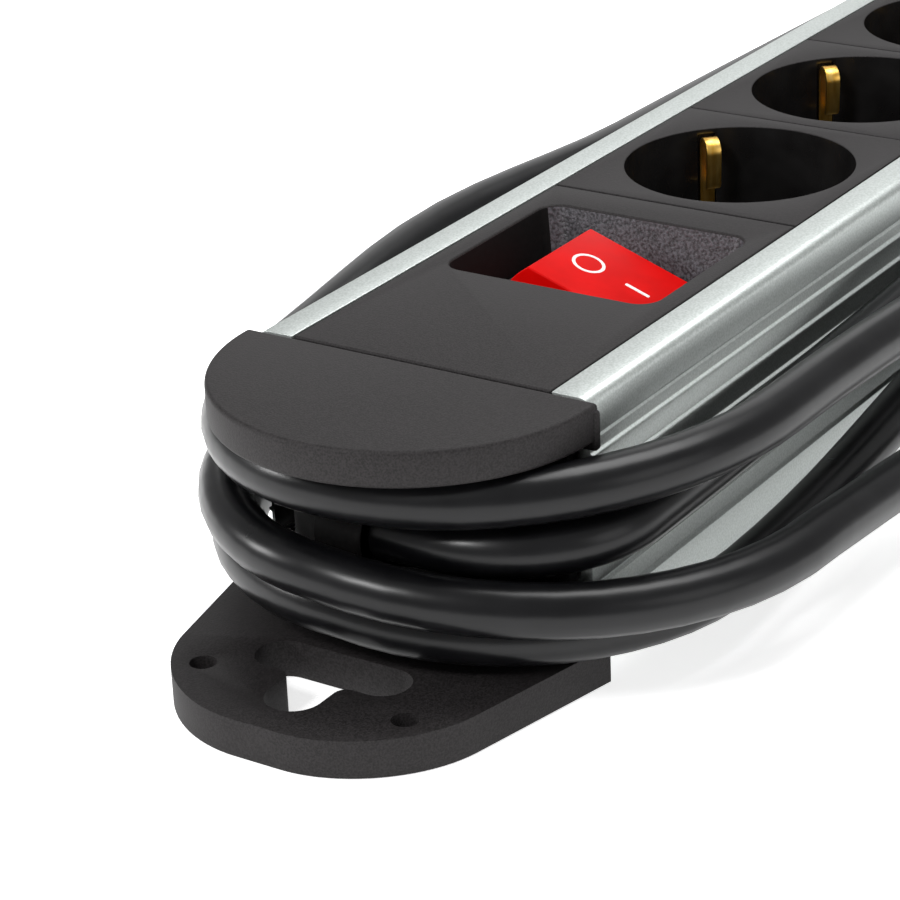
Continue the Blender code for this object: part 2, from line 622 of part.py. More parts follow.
def make_end_cap(name, end, outward):
    """Lid, winding neck, end plate and base flange in one moulding; outward is -1 or +1 along X."""
    def placed(points):
        return [(end + outward * x, y) for x, y in points]

    def block(near_x, far_x, half, low, high):
        xs = sorted((end + outward * near_x, end + outward * far_x))
        return box((xs[0], -half, low), (xs[1], half, high))

    overlap = 1.0
    made = add_object(name, prism(placed(flange_outline()), "Z", 0, FLANGE_THICK), BLACK)
    bevel(made, FLANGE_EDGE)
    lid_low = HEIGHT - LID_THICK
    plate_start = CLEAR * 1.5
    boolean(made, block(plate_start, END_PLATE, END_PLATE_HALF, overlap, HEIGHT - overlap), "UNION")
    neck = [(plate_start + overlap, NECK_HALF)]
    for x, y in arc((0, 0), 1.0, 90, 0, 10):
        neck.append((overlap * 2 + (NECK_TIP - overlap * 2) * x, NECK_HALF * y))
    neck = neck[:-1] + [(NECK_TIP, 0)] + [(x, -y) for x, y in reversed(neck[:-1])]
    boolean(made, prism(placed(neck), "Z", FLANGE_THICK - overlap, lid_low + overlap), "UNION")
    lid = [(CLEAR, LID_RADIUS)] + arc((LID_STRAIGHT, 0), LID_RADIUS, 90, 0, 14)
    lid = lid + [(x, -y) for x, y in reversed(lid[:-1])]
    boolean(made, prism(placed(lid), "Z", lid_low, HEIGHT), "UNION", LID_EDGE)
    skirt_start = CLEAR * 1.2
    boolean(made, block(skirt_start, END_PLATE - overlap / 2, LID_SKIRT_HALF, HEIGHT - LID_SKIRT_DROP,
                        HEIGHT - LID_EDGE), "UNION")
    below = -overlap
    above = FLANGE_THICK + overlap
    boolean(made, prism(placed(keyhole_outline()), "Z", below, above), "DIFFERENCE")
    for side in (1, -1):
        hole = (end + outward * FLANGE_HOLE_X, side * FLANGE_HOLE_Y, 0)
        boolean(made, cylinder(hole, "Z", below, above, FLANGE_HOLE_RADIUS, sides=16), "DIFFERENCE")
        bore = (0, side * SCREW_Y, SCREW_Z)
        xs = sorted((end - outward * overlap, end + outward * (END_PLATE + overlap)))
        boolean(made, cylinder(bore, "X", xs[0], xs[1], SCREW_RADIUS + CLEAR, sides=16), "DIFFERENCE")
        make_cap_screw(name, end, outward, side)
    return made


def make_cap_screw(cap, end, outward, side):
    """A round-headed screw through the end plate into the channel."""
    head_seat = END_PLATE + CLEAR
    axis = (0, side * SCREW_Y, SCREW_Z)
    heads = sorted((end + outward * head_seat, end + outward * (head_seat + SCREW_HEAD_HEIGHT)))
    name = cap.replace("end_cap", "cap_screw") + ("_left" if side > 0 else "_right")
    made = add_object(name, cylinder(axis, "X", heads[0], heads[1], SCREW_HEAD_RADIUS, sides=16), STEEL)
    overlap = 0.5
    shank = sorted((end - outward * SCREW_LENGTH, end + outward * (head_seat + overlap)))
    boolean(made, cylinder(axis, "X", shank[0], shank[1], SCREW_RADIUS, sides=12), "UNION")


def make_outlet(cap):
    """The nose on the near cap's neck that the lead leaves by, with its rubber bush."""
    axis = (NEAR - OUTLET_X, 0, OUTLET_Z)
    boolean(cap, cylinder(axis, "Y", OUTLET_FACE, OUTLET_FACE + OUTLET_LENGTH, OUTLET_RADIUS), "UNION")
    half = LEAD_RADIUS + OUTLET_RELIEF
    relief = box((NEAR - OUTLET_X - half, OUTLET_FACE - NECK_HALF, OUTLET_Z - half),
                 (NEAR - OUTLET_X + half, OUTLET_FACE, OUTLET_Z + half))
    boolean(cap, relief, "DIFFERENCE")
    depth = BUSH_LENGTH + CLEAR
    overlap = 1.0
    boolean(cap, cylinder(axis, "Y", OUTLET_FACE - overlap, OUTLET_FACE + depth, BUSH_RADIUS + CLEAR),
            "DIFFERENCE")
    bush = cylinder(axis, "Y", OUTLET_FACE, OUTLET_FACE + BUSH_LENGTH, BUSH_RADIUS, sides=16)
    add_object("strain_relief_bush", bush, CABLE)


# Mains lead: loops wound lengthwise round both necks

def ease(share):
    share = min(max(share, 0.0), 1.0)
    return share * share * (3 - 2 * share)


def loop_end(shape, end, first_side):
    """Half a loop round a cap: two quarter ellipses, whose chords touch them from outside."""
    tip, tip_z, left, right = shape
    spots = []
    for side in (first_side, -first_side):
        widest, half, side_z = left if side > 0 else right
        quarter = []
        for step in range(LOOP_ARC_POINTS + 1):
            angle = math.pi / 2 * step / LOOP_ARC_POINTS
            full = 1.0 / math.cos(math.pi / 4 / LOOP_ARC_POINTS) if 0 < step < LOOP_ARC_POINTS else 1.0
            along = widest - full * (widest + tip) * math.cos(angle)
            x = NEAR + along if end == NEAR else FAR - along
            quarter.append(Vector((x, side * full * half * math.sin(angle),
                                   tip_z + (side_z - tip_z) * math.sin(angle))))
        spots += reversed(quarter) if side == first_side else quarter[1:]
    return spots


def loop_run(start, finish, lay, swell=0.0, lift=0.0):
    """The strand between two loop ends: it closes in on the channel and may swell near its finish."""
    spots = []
    side = 1 if start.y > 0 else -1
    for step in range(1, LOOP_RUN_POINTS + 1):
        share = step / (LOOP_RUN_POINTS + 1)
        nearer = start if share < 0.5 else finish
        closing = ease(min(share, 1 - share) / LAY_SHARE)
        y = abs(nearer.y) + (lay - abs(nearer.y)) * closing
        if 1 - share < SWELL_SHARE:
            y += swell * math.sin(math.pi * (1 - share) / SWELL_SHARE) ** 2
        z = start.z + (finish.z - start.z) * ease(share)
        z += lift * math.sin(math.pi * math.sqrt(1 - share)) ** 2
        spots.append(Vector((start.x + (finish.x - start.x) * share, side * y, z)))
    return spots


def lead_route():
    """Points along the lead, from the outlet to the plug's boot."""
    x = NEAR - OUTLET_X
    first = OUTLET_FACE - CLEAR
    bend_y = first - LEAD_DIAMETER
    route = [Vector((x, first, OUTLET_Z)), Vector((x, bend_y, OUTLET_Z))]
    for step in range(1, LOOP_ARC_POINTS + 1):
        angle = math.pi / 2 * step / LOOP_ARC_POINTS
        full = 1.0 / math.cos(math.pi / 4 / LOOP_ARC_POINTS) if step < LOOP_ARC_POINTS else 1.0
        route.append(Vector((x + FIRST_BEND * (1 - full * math.cos(angle)),
                             bend_y - FIRST_BEND * full * math.sin(angle), OUTLET_Z)))
    turns = ((FAR_TOP, NEAR_TOP, SIDE_LAY, TOP_SWELL, TOP_LIFT), (FAR_LOW, NEAR_LOW, OUTER_LAY, 0.0, 0.0),
             (FAR_MIDDLE, NEAR_OUTER, SIDE_LAY, 0.0, 0.0))
    for far_shape, near_shape, right_lay, swell, lift in turns:
        far_end = loop_end(far_shape, FAR, -1)
        near_end = loop_end(near_shape, NEAR, 1)
        route += loop_run(route[-1], far_end[0], right_lay)
        route += far_end
        route += loop_run(far_end[-1], near_end[0], SIDE_LAY, swell, lift)
        route += near_end
    route += [Vector((NEAR + along, -(SIDE_LAY + out), z)) for along, out, z in LEAD_TAIL]
    boot = NEAR + PLUG_X - CLEAR
    route += [Vector((boot - LEAD_DIAMETER, PLUG_Y, PLUG_Z)), Vector((boot, PLUG_Y, PLUG_Z))]
    return route


def least_gap(route):
    """The smallest gap between strands that aren't next to each other along the lead."""
    spots = []
    travelled = 0.0
    pieces = 12
    for first, second in zip(route, route[1:]):
        step = (second - first) / pieces
        for number in range(pieces):
            spots.append((travelled + step.length * number, first + step * number))
        travelled += step.length * pieces
    far_along = LEAD_DIAMETER * 6
    gaps = [(a - b).length for i, (s, a) in enumerate(spots) for t, b in spots[i + 1:] if t - s > far_along]
    return min(gaps) - LEAD_DIAMETER, travelled


def make_lead():
    route = lead_route()
    gap, length = least_gap(route)
    print(f"lead: {len(route)} points, {length:.0f} mm long, least gap to itself {gap:.2f} mm")
    curve = bpy.data.curves.new("mains_lead", "CURVE")
    curve.dimensions = "3D"
    curve.bevel_depth = LEAD_RADIUS * MM
    curve.bevel_resolution = 1
    curve.use_fill_caps = True
    spline = curve.splines.new("POLY")
    spline.points.add(len(route) - 1)
    for point, spot in zip(spline.points, route):
        point.co = (*(spot * MM), 1.0)
    curve.materials.append(CABLE)
    PARTS.objects.link(bpy.data.objects.new("mains_lead", curve))


# Plug

def make_plug():
    """A straight earthed plug that lies on the floor beside the strip."""
    start = NEAR + PLUG_X
    axis = (0, PLUG_Y, PLUG_Z)
    boot_end = start + BOOT_LENGTH
    add_object("plug_boot", cylinder(axis, "X", start, boot_end, BOOT_TIP_RADIUS, BOOT_RADIUS, 20), CABLE)
    back = boot_end + CLEAR
    front = back + PLUG_BODY_LENGTH
    disc = front - PLUG_DISC
    overlap = 0.5
    body = add_object("plug_body", cylinder(axis, "X", disc, front, PLUG_RADIUS, sides=40), CABLE)
    bevel(body, PLUG_EDGE)
    boolean(body, cylinder(axis, "X", back, disc + overlap, PLUG_NECK_RADIUS, PLUG_RADIUS - PLUG_EDGE, 40),
            "UNION")
    for number, side in enumerate((1, -1), start=1):
        pin = (0, PLUG_Y + side * PIN_SPACING / 2, PLUG_Z)
        seat = front - PLUG_PIN_SEAT
        boolean(body, cylinder(pin, "X", seat, front + overlap, PLUG_PIN_RADIUS + CLEAR, sides=16), "DIFFERENCE")
        tip = front + PLUG_PIN_LENGTH
        shaft_end = tip - PLUG_PIN_RADIUS
        made = add_object(f"plug_pin_{number}",
                          cylinder(pin, "X", seat + CLEAR, shaft_end + overlap, PLUG_PIN_RADIUS, sides=16), STEEL)
        boolean(made, cylinder(pin, "X", shaft_end, tip, PLUG_PIN_RADIUS * 0.98, PLUG_PIN_RADIUS * 0.5, 16),
                "UNION")
        outer = PLUG_RADIUS - CONTACT_INSET
        inner = outer - CONTACT_THICK
        levels = sorted((PLUG_Z + side * inner, PLUG_Z + side * outer))
        half = CONTACT_WIDTH / 2
        contact = box((front - CONTACT_LENGTH, PLUG_Y - half, levels[0]), (front, PLUG_Y + half, levels[1]))
        add_object(f"plug_earth_contact_{number}", contact, STEEL)
        cut = sorted((PLUG_Z + side * (inner - CLEAR), PLUG_Z + side * (PLUG_RADIUS + overlap)))
        boolean(body, box((front - CONTACT_LENGTH - CLEAR, PLUG_Y - half - CLEAR, cut[0]),
                          (front + overlap, PLUG_Y + half + CLEAR, cut[1])), "DIFFERENCE")


# Assembly

make_profile()
make_switch_cover()
make_switch_housing()
make_rocker()
for index in range(SOCKETS):
    make_socket(index)
    make_earth_clip(index)
make_busbars()
near_cap = make_end_cap("near_end_cap", NEAR, -1)
make_outlet(near_cap)
make_end_cap("far_end_cap", FAR, 1)
make_lead()
make_plug()
for piece in PARTS.objects:
    if piece.type == "MESH":
        smooth(piece)
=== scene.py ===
# %% [markdown]
# # A desk power strip, dressed on its CAD frame
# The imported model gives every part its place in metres. This notebook adds what a camera sees:
# the smooth lead, rounded mouldings, a glossy rocker, and finishes that behave like the real
# materials. All sizes are written in millimetres and turned into metres by MM.

# %% Load the frame
import json
import math

import bmesh
import bpy
from mathutils import Matrix, Vector


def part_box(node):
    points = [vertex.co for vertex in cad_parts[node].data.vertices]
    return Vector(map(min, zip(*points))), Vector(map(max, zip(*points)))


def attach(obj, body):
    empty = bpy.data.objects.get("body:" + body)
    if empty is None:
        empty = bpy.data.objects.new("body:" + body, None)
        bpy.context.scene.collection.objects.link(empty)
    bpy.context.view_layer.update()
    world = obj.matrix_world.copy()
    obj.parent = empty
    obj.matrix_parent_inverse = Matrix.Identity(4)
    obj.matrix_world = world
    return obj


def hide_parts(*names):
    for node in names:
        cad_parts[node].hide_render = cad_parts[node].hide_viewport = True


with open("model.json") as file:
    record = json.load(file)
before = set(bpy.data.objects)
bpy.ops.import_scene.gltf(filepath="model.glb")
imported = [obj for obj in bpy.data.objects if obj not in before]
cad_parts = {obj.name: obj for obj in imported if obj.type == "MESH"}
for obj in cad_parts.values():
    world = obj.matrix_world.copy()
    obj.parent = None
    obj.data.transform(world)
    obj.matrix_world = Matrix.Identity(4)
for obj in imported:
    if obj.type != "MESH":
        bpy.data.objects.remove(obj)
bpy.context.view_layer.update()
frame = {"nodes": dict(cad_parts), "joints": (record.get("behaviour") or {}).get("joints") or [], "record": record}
nodes = frame["nodes"]
MM = 0.001
CLEAR = 0.3
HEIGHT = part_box("near_end_cap")[1][2] / MM
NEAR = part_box("aluminium_profile")[0][0] / MM
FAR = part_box("aluminium_profile")[1][0] / MM
print(f"frame: {len(nodes)} parts, channel from {NEAR:.1f} to {FAR:.1f} mm, {HEIGHT:.1f} mm high")

# %% [markdown]
# ## The camera
# The photograph was taken close to the switch end with a long lens, so the strip runs out of the
# picture. A camera can be aimed by rotation angles, but here the strip's straight edges gave its
# place and its right and up directions, so these are written down and make its matrix.

# %% Camera
CAMERA_PLACE = (-517.55, -235.2, 216.2)
CAMERA_RIGHT = Vector((0.5434, -0.8385, -0.0401))
CAMERA_UP = Vector((0.3638, 0.1922, 0.9114))
CAMERA_LENS = 123.94
SENSOR_WIDTH = 36.0
NEAREST_SEEN = 10.0

camera_data = bpy.data.cameras.new("camera")
camera_data.lens = CAMERA_LENS
camera_data.sensor_width = SENSOR_WIDTH
camera_data.clip_start = NEAREST_SEEN * MM
camera = bpy.data.objects.new("camera", camera_data)
bpy.context.scene.collection.objects.link(camera)
camera_back = CAMERA_RIGHT.cross(CAMERA_UP)
turn = Matrix((CAMERA_RIGHT, CAMERA_UP, camera_back)).transposed().to_4x4()
camera.matrix_world = Matrix.Translation(Vector(CAMERA_PLACE) * MM) @ turn
bpy.context.scene.camera = camera
print(f"camera: {CAMERA_LENS} mm lens, {CAMERA_PLACE[2]:.0f} mm above the floor")

# %% [markdown]
# ## The lead
# A three metre PVC lead leaves the near cap's neck and is wound three times lengthwise round both
# necks. Points placed one by one would wobble, so a formula lays them: each loop is two half
# ellipses joined by runs that close in on the channel. It is the solid's formula with the points
# closer together, so that the curve looks smooth.

# %% Route of the lead
LEAD_RADIUS = 4.1
LEAD_DIAMETER = 2 * LEAD_RADIUS
OUTLET_X = 16.8
OUTLET_FACE = -4.0
FIRST_BEND = 21.8
LID_THICK = 5.7
FLANGE_THICK = 5.9
STRAND_GAP = 0.5
SIDE_GAP = 0.55
ARC_STEPS = 14
RUN_STEPS = 30
TAIL_STEPS = 6
LAY_SHARE = 0.35
SWELL_SHARE = 0.32
TOP_SWELL = 4.0
TOP_LIFT = 4.2
CHANNEL_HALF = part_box("aluminium_profile")[1][1] / MM
SIDE_LAY = CHANNEL_HALF + LEAD_RADIUS + SIDE_GAP
OUTER_LAY = SIDE_LAY + 10.2
FAR_OUTER = SIDE_LAY + 12.7
TOP_STRAND = HEIGHT - LID_THICK - CLEAR - LEAD_RADIUS
LOW_STRAND = FLANGE_THICK + CLEAR + LEAD_RADIUS
OUTLET_Z = TOP_STRAND - LEAD_DIAMETER - STRAND_GAP
FAR_LEVEL = (TOP_STRAND + LOW_STRAND) / 2
# Loop ends: reach of the tip, its height, then for the left and the right side the distance of the
# widest point from the channel's end, the half width and the height there.
NEAR_TOP = (24.2, TOP_STRAND, (20.0, SIDE_LAY + 4.2, TOP_STRAND - 1.6),
            (30.0, SIDE_LAY + 9.7, TOP_STRAND))
NEAR_LOW = (22.2, LOW_STRAND + 3.5, (20.0, SIDE_LAY + 5.0, LOW_STRAND + 3.2),
            (24.0, SIDE_LAY + 6.4, LOW_STRAND - 1.0))
NEAR_OUTER = (27.3, OUTLET_Z - 3.1, (20.0, SIDE_LAY + 4.0, OUTLET_Z - 1.7),
              (28.0, SIDE_LAY + 17.0, OUTLET_Z - 9.3))
FAR_TOP = (25.5, TOP_STRAND, (30.0, SIDE_LAY + 8.2, TOP_STRAND), (30.0, SIDE_LAY + 8.2, TOP_STRAND))
FAR_LOW = (25.5, LOW_STRAND, (30.0, FAR_OUTER, LOW_STRAND), (30.0, FAR_OUTER, LOW_STRAND))
FAR_MIDDLE = (25.5, FAR_LEVEL, (30.0, SIDE_LAY + 8.2, FAR_LEVEL), (30.0, SIDE_LAY + 8.2, FAR_LEVEL))
# The last stretch: along from the channel's near end, out from the side strands, and up.
LEAD_TAIL = (
    (65.0, 17.7, 13.2), (90.0, 19.2, 10.2), (115.0, 21.7, 7.0), (140.0, 25.2, 4.8),
    (165.0, 30.7, 4.5), (185.0, 35.0, 7.4), (203.0, 37.0, 13.2),
)
boot_low, boot_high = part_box("plug_boot")
BOOT_X = boot_low[0] / MM
PLUG_Y = (boot_low[1] + boot_high[1]) / 2 / MM
PLUG_Z = (boot_low[2] + boot_high[2]) / 2 / MM


def ease(share):
    share = min(max(share, 0.0), 1.0)
    return share * share * (3 - 2 * share)


def loop_end(shape, end, first_side):
    """Half a loop round a cap: a quarter ellipse to the tip and another away from it."""
    tip, tip_z, left, right = shape
    spots = []
    for side in (first_side, -first_side):
        widest, half, side_z = left if side > 0 else right
        quarter = []
        for step in range(ARC_STEPS + 1):
            angle = math.pi / 2 * step / ARC_STEPS
            along = widest - (widest + tip) * math.cos(angle)
            x = NEAR + along if end == NEAR else FAR - along
            rise = (side_z - tip_z) * math.sin(angle)
            quarter.append(Vector((x, side * half * math.sin(angle), tip_z + rise)))
        spots += reversed(quarter) if side == first_side else quarter[1:]
    return spots


def loop_run(start, finish, lay, swell=0.0, lift=0.0):
    """A strand between two loop ends that closes in on the channel and may swell near its finish."""
    spots = []
    side = 1 if start.y > 0 else -1
    for step in range(1, RUN_STEPS + 1):
        share = step / (RUN_STEPS + 1)
        nearer = start if share < 0.5 else finish
        y = abs(nearer.y) + (lay - abs(nearer.y)) * ease(min(share, 1 - share) / LAY_SHARE)
        if 1 - share < SWELL_SHARE:
            y += swell * math.sin(math.pi * (1 - share) / SWELL_SHARE) ** 2
        z = start.z + (finish.z - start.z) * ease(share)
        z += lift * math.sin(math.pi * math.sqrt(1 - share)) ** 2
        spots.append(Vector((start.x + (finish.x - start.x) * share, side * y, z)))
    return spots


def smooth_through(spots, steps):
    """Points on a smooth line through the spots; the first and last only set its direction."""
    line = []
    for a, b, c, d in zip(spots, spots[1:], spots[2:], spots[3:]):
        for step in range(steps):
            t = step / steps
            line.append(0.5 * (2 * b + (c - a) * t + (2 * a - 5 * b + 4 * c - d) * t ** 2
                               + (3 * b - a - 3 * c + d) * t ** 3))
    return line + [spots[-2]]


def lead_route():
    x = NEAR - OUTLET_X
    first = OUTLET_FACE - CLEAR
    bend_y = first - LEAD_DIAMETER
    route = [Vector((x, first, OUTLET_Z)), Vector((x, bend_y, OUTLET_Z))]
    for step in range(1, ARC_STEPS + 1):
        angle = math.pi / 2 * step / ARC_STEPS
        route.append(Vector((x + FIRST_BEND * (1 - math.cos(angle)),
                             bend_y - FIRST_BEND * math.sin(angle), OUTLET_Z)))
    turns = ((FAR_TOP, NEAR_TOP, SIDE_LAY, TOP_SWELL, TOP_LIFT),
             (FAR_LOW, NEAR_LOW, OUTER_LAY, 0.0, 0.0),
             (FAR_MIDDLE, NEAR_OUTER, SIDE_LAY, 0.0, 0.0))
    for far_shape, near_shape, right_lay, swell, lift in turns:
        far_end = loop_end(far_shape, FAR, -1)
        near_end = loop_end(near_shape, NEAR, 1)
        route += loop_run(route[-1], far_end[0], right_lay)
        route += far_end
        route += loop_run(far_end[-1], near_end[0], SIDE_LAY, swell, lift)
        route += near_end
    tail = [route[-2], route[-1]]
    tail += [Vector((NEAR + along, -(SIDE_LAY + out), z)) for along, out, z in LEAD_TAIL]
    boot = BOOT_X - CLEAR
    tail += [Vector((boot - LEAD_DIAMETER, PLUG_Y, PLUG_Z)), Vector((boot, PLUG_Y, PLUG_Z))]
    route += smooth_through(tail, TAIL_STEPS)[1:]
    return route + [tail[-1]]


route = lead_route()

# %% [markdown]
# A cable could be a swept mesh, but a curve with a round bevel is plainer: its line is the lead's
# centre. The bevel is one metre, and the radius at each point brings it to the lead's own.

# %% The lead as a curve
ROUND_STEPS = 6
lead_curve = bpy.data.curves.new("wound_lead", "CURVE")
lead_curve.dimensions = "3D"
lead_curve.bevel_depth = 1.0
lead_curve.bevel_resolution = ROUND_STEPS
lead_curve.use_fill_caps = True
spline = lead_curve.splines.new("POLY")
spline.points.add(len(route) - 1)
for point, spot in zip(spline.points, route):
    point.co = (*(spot * MM), 1.0)
    point.radius = LEAD_RADIUS * MM
spline.use_smooth = True
wound_lead = bpy.data.objects.new("wound_lead", lead_curve)
bpy.context.scene.collection.objects.link(wound_lead)
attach(wound_lead, "body")
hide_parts("mains_lead")
print(f"lead: a round curve {LEAD_DIAMETER:.1f} mm thick")

# %% [markdown]
# ## Floor and light
# White paper on a light table, under soft boxes. The sky is a little brighter overhead than at the
# horizon, so gloss shows light and dark bands while a colour renders about as it is written. The
# paper could be lit until it is white, but that would wash out the strip. It glows instead, and a
# little more to the camera than to the pieces, so that black plastic stays black beside it.

# %% Sky
SKY_HORIZON = 0.36
SKY_ZENITH = 0.42
TABLE_GLOW = 0.55
SEEN_GLOW = 0.7
FLOOR_SIZE = 8.0
FLOOR_DROP = 0.2
WHITE = (1.0, 1.0, 1.0, 1.0)

bpy.context.scene.view_settings.view_transform = "Standard"


def linear(code):
    """An sRGB hex value as the linear colour that a shader takes."""
    channels = [int(code[i:i + 2], 16) / 255 for i in (1, 3, 5)]
    return (*[c / 12.92 if c <= 0.04045 else ((c + 0.055) / 1.055) ** 2.4 for c in channels], 1.0)


def add_node(tree, kind, settings=None, links=None):
    """A node with its settings; links gives, for each input, the output that feeds it."""
    node = tree.nodes.new(kind)
    for name, value in (settings or {}).items():
        if name in node.inputs:
            node.inputs[name].default_value = value
        else:
            setattr(node, name, value)
    for name, output in (links or {}).items():
        tree.links.new(output, node.inputs[name])
    return node


world = bpy.data.worlds.new("white_sky")
bpy.context.scene.world = world
world.use_nodes = True
sky = world.node_tree
sky.nodes.clear()
direction = add_node(sky, "ShaderNodeTexCoord")
parts = add_node(sky, "ShaderNodeSeparateXYZ", None, {"Vector": direction.outputs["Generated"]})
strength = add_node(sky, "ShaderNodeMapRange", {"To Min": SKY_HORIZON, "To Max": SKY_ZENITH},
                    {"Value": parts.outputs["Z"]})
glow = add_node(sky, "ShaderNodeBackground", {"Color": WHITE},
                {"Strength": strength.outputs[0]})
add_node(sky, "ShaderNodeOutputWorld", None, {"Surface": glow.outputs[0]})
print(f"sky: {SKY_HORIZON} at the horizon, {SKY_ZENITH} overhead")

# %% Floor
bpy.ops.mesh.primitive_plane_add(size=FLOOR_SIZE)
floor = bpy.context.active_object
floor.name = "paper_floor"
floor.location.z = -FLOOR_DROP * MM
paper = bpy.data.materials.new("white_paper")
paper.use_nodes = True
sheet = paper.node_tree.nodes["Principled BSDF"]
sheet.inputs["Base Color"].default_value = linear("#fbfbfb")
sheet.inputs["Roughness"].default_value = 0.9
sheet.inputs["Specular IOR Level"].default_value = 0.1
sheet.inputs["Emission Color"].default_value = WHITE
sight = add_node(paper.node_tree, "ShaderNodeLightPath")
shine = add_node(paper.node_tree, "ShaderNodeMapRange", {"To Min": TABLE_GLOW, "To Max": SEEN_GLOW},
                 {"Value": sight.outputs["Is Camera Ray"]})
paper.node_tree.links.new(shine.outputs[0], sheet.inputs["Emission Strength"])
floor.data.materials.append(paper)
print(f"floor: {FLOOR_SIZE} m of glowing paper under a white sky")


# %% Soft boxes
# Each soft box: its place and the length of its side in metres, and its power in watts.
SOFT_BOXES = {
    "top_box": ((0.15, -0.1, 0.85), 0.5, 5.0),
    "front_box": ((-0.8, 0.1, 0.62), 0.16, 3.2),
    "side_box": ((-0.1, -0.95, 0.35), 0.45, 0.8),
    "back_box": ((0.9, 0.7, 0.55), 0.9, 2.0),
    "left_box": ((-0.55, 0.7, 0.36), 0.16, 2.0),
}


def soft_box(name, place, size, power):
    """A square area lamp at a place in metres, aimed at the switch end of the strip."""
    lamp = bpy.data.lights.new(name, "AREA")
    lamp.size = size
    lamp.energy = power
    holder = bpy.data.objects.new(name, lamp)
    bpy.context.scene.collection.objects.link(holder)
    target = Vector((NEAR, 0, HEIGHT / 2)) * MM
    holder.location = place
    holder.rotation_euler = (Vector(place) - target).to_track_quat("Z", "Y").to_euler()


for name, (place, size, power) in SOFT_BOXES.items():
    soft_box(name, place, size, power)
print(f"light: {len(SOFT_BOXES)} soft boxes")

# %% [markdown]
# ## Finishes
# Each finish starts from the real material: moulded ABS with a spark-eroded grain, PVC cable
# sheath, extruded and anodised aluminium, glossy polycarbonate, gold-coloured brass and nickel.
# A flat colour would look like paint, so noise at the real grain's size varies each finish a little.
# Grain finer than a pixel would vanish, so the ABS grain is drawn as coarse as it needs to show.

# %% Helpers for finishes
OBJECT_UNIT = 1.0 / MM
RAMP_DARK = 0.35
RAMP_LIGHT = 0.65
PLAIN_SPECULAR = 0.5


def new_finish(name, colour, roughness, metallic=0.0, specular=PLAIN_SPECULAR):
    """A material with its shader; a specular below the plain one dulls a plastic's shine."""
    made = bpy.data.materials.new(name)
    made.use_nodes = True
    shader = made.node_tree.nodes["Principled BSDF"]
    shader.inputs["Base Color"].default_value = linear(colour)
    shader.inputs["Roughness"].default_value = roughness
    shader.inputs["Metallic"].default_value = metallic
    shader.inputs["Specular IOR Level"].default_value = specular
    return made, made.node_tree, shader


def grain(tree, size_mm, detail=2.0, stretch=(1.0, 1.0, 1.0)):
    """Noise whose blotches are about size_mm across, in the part's own coordinates."""
    where = add_node(tree, "ShaderNodeTexCoord")
    placed = add_node(tree, "ShaderNodeMapping", {"Scale": stretch},
                      {"Vector": where.outputs["Object"]})
    return add_node(tree, "ShaderNodeTexNoise", {"Scale": OBJECT_UNIT / size_mm, "Detail": detail},
                    {"Vector": placed.outputs[0]})


def vary_colour(tree, shader, noise, dark, light):
    ramp = add_node(tree, "ShaderNodeValToRGB", None, {"Fac": noise.outputs["Fac"]})
    ramp.color_ramp.elements[0].position = RAMP_DARK
    ramp.color_ramp.elements[0].color = linear(dark)
    ramp.color_ramp.elements[1].position = RAMP_LIGHT
    ramp.color_ramp.elements[1].color = linear(light)
    tree.links.new(ramp.outputs["Color"], shader.inputs["Base Color"])


def vary_roughness(tree, shader, noise, low, high):
    span = add_node(tree, "ShaderNodeMapRange", {"To Min": low, "To Max": high},
                    {"Value": noise.outputs["Fac"]})
    tree.links.new(span.outputs[0], shader.inputs["Roughness"])


def bump(tree, shader, noise, depth_mm, strength=1.0):
    raised = add_node(tree, "ShaderNodeBump", {"Strength": strength, "Distance": depth_mm * MM},
                      {"Height": noise.outputs["Fac"]})
    tree.links.new(raised.outputs[0], shader.inputs["Normal"])


# %% Moulded black plastics
# Moulded ABS: the tool's eroded grain breaks up the reflection into a soft grey sheen.
grained_abs, tree, shader = new_finish("grained_abs", "#282626", 0.6, specular=0.26)
speck = grain(tree, 0.3)
vary_colour(tree, shader, speck, "#191717", "#2d2a2b")
vary_roughness(tree, shader, speck, 0.5, 0.68)
bump(tree, shader, speck, 0.06, 0.6)

# The pocket's far wall keeps a coarser eroded grain that glitters in the light, and its colour is painted lighter
# than the other black ABS: painted light on the wall that faces the front lamp.
eroded_painted_lit_abs, tree, shader = new_finish("eroded_painted_lit_abs", "#2e2c2d", 0.5)
grit = grain(tree, 0.5)
vary_colour(tree, shader, grit, "#232326", "#58575d")
vary_roughness(tree, shader, grit, 0.3, 0.6)
bump(tree, shader, grit, 0.12, 0.9)

# The wells are moulded against polished cores, so they stay deep black and mirror the clips.
polished_abs, tree, shader = new_finish("polished_abs", "#171616", 0.22, specular=0.25)
speck = grain(tree, 6.0)
vary_colour(tree, shader, speck, "#141313", "#1b1a1a")
vary_roughness(tree, shader, speck, 0.16, 0.26)

# Painted shade: the winding necks, the plates and noses by them and the pocket's other faces lie in shade, so they
# get a darker copy of the black ABS with hardly any shine.
painted_shade_abs, tree, shader = new_finish("painted_shade_abs", "#0d0c0c", 0.55, specular=0.1)
speck = grain(tree, 0.8)
vary_colour(tree, shader, speck, "#0b0a0a", "#100f0f")
vary_roughness(tree, shader, speck, 0.5, 0.6)
print("black plastics: grained, eroded, polished and dull")

# %% Sheath, metals and the hidden tray
# PVC sheath: smooth and slightly waxy, with shallow waves from the cores under it.
pvc_sheath, tree, shader = new_finish("pvc_sheath", "#0e0e0f", 0.28, specular=0.34)
wave = grain(tree, 9.0)
vary_colour(tree, shader, wave, "#08080a", "#0f0f11")
vary_roughness(tree, shader, wave, 0.25, 0.34)
bump(tree, shader, wave, 0.25, 0.35)

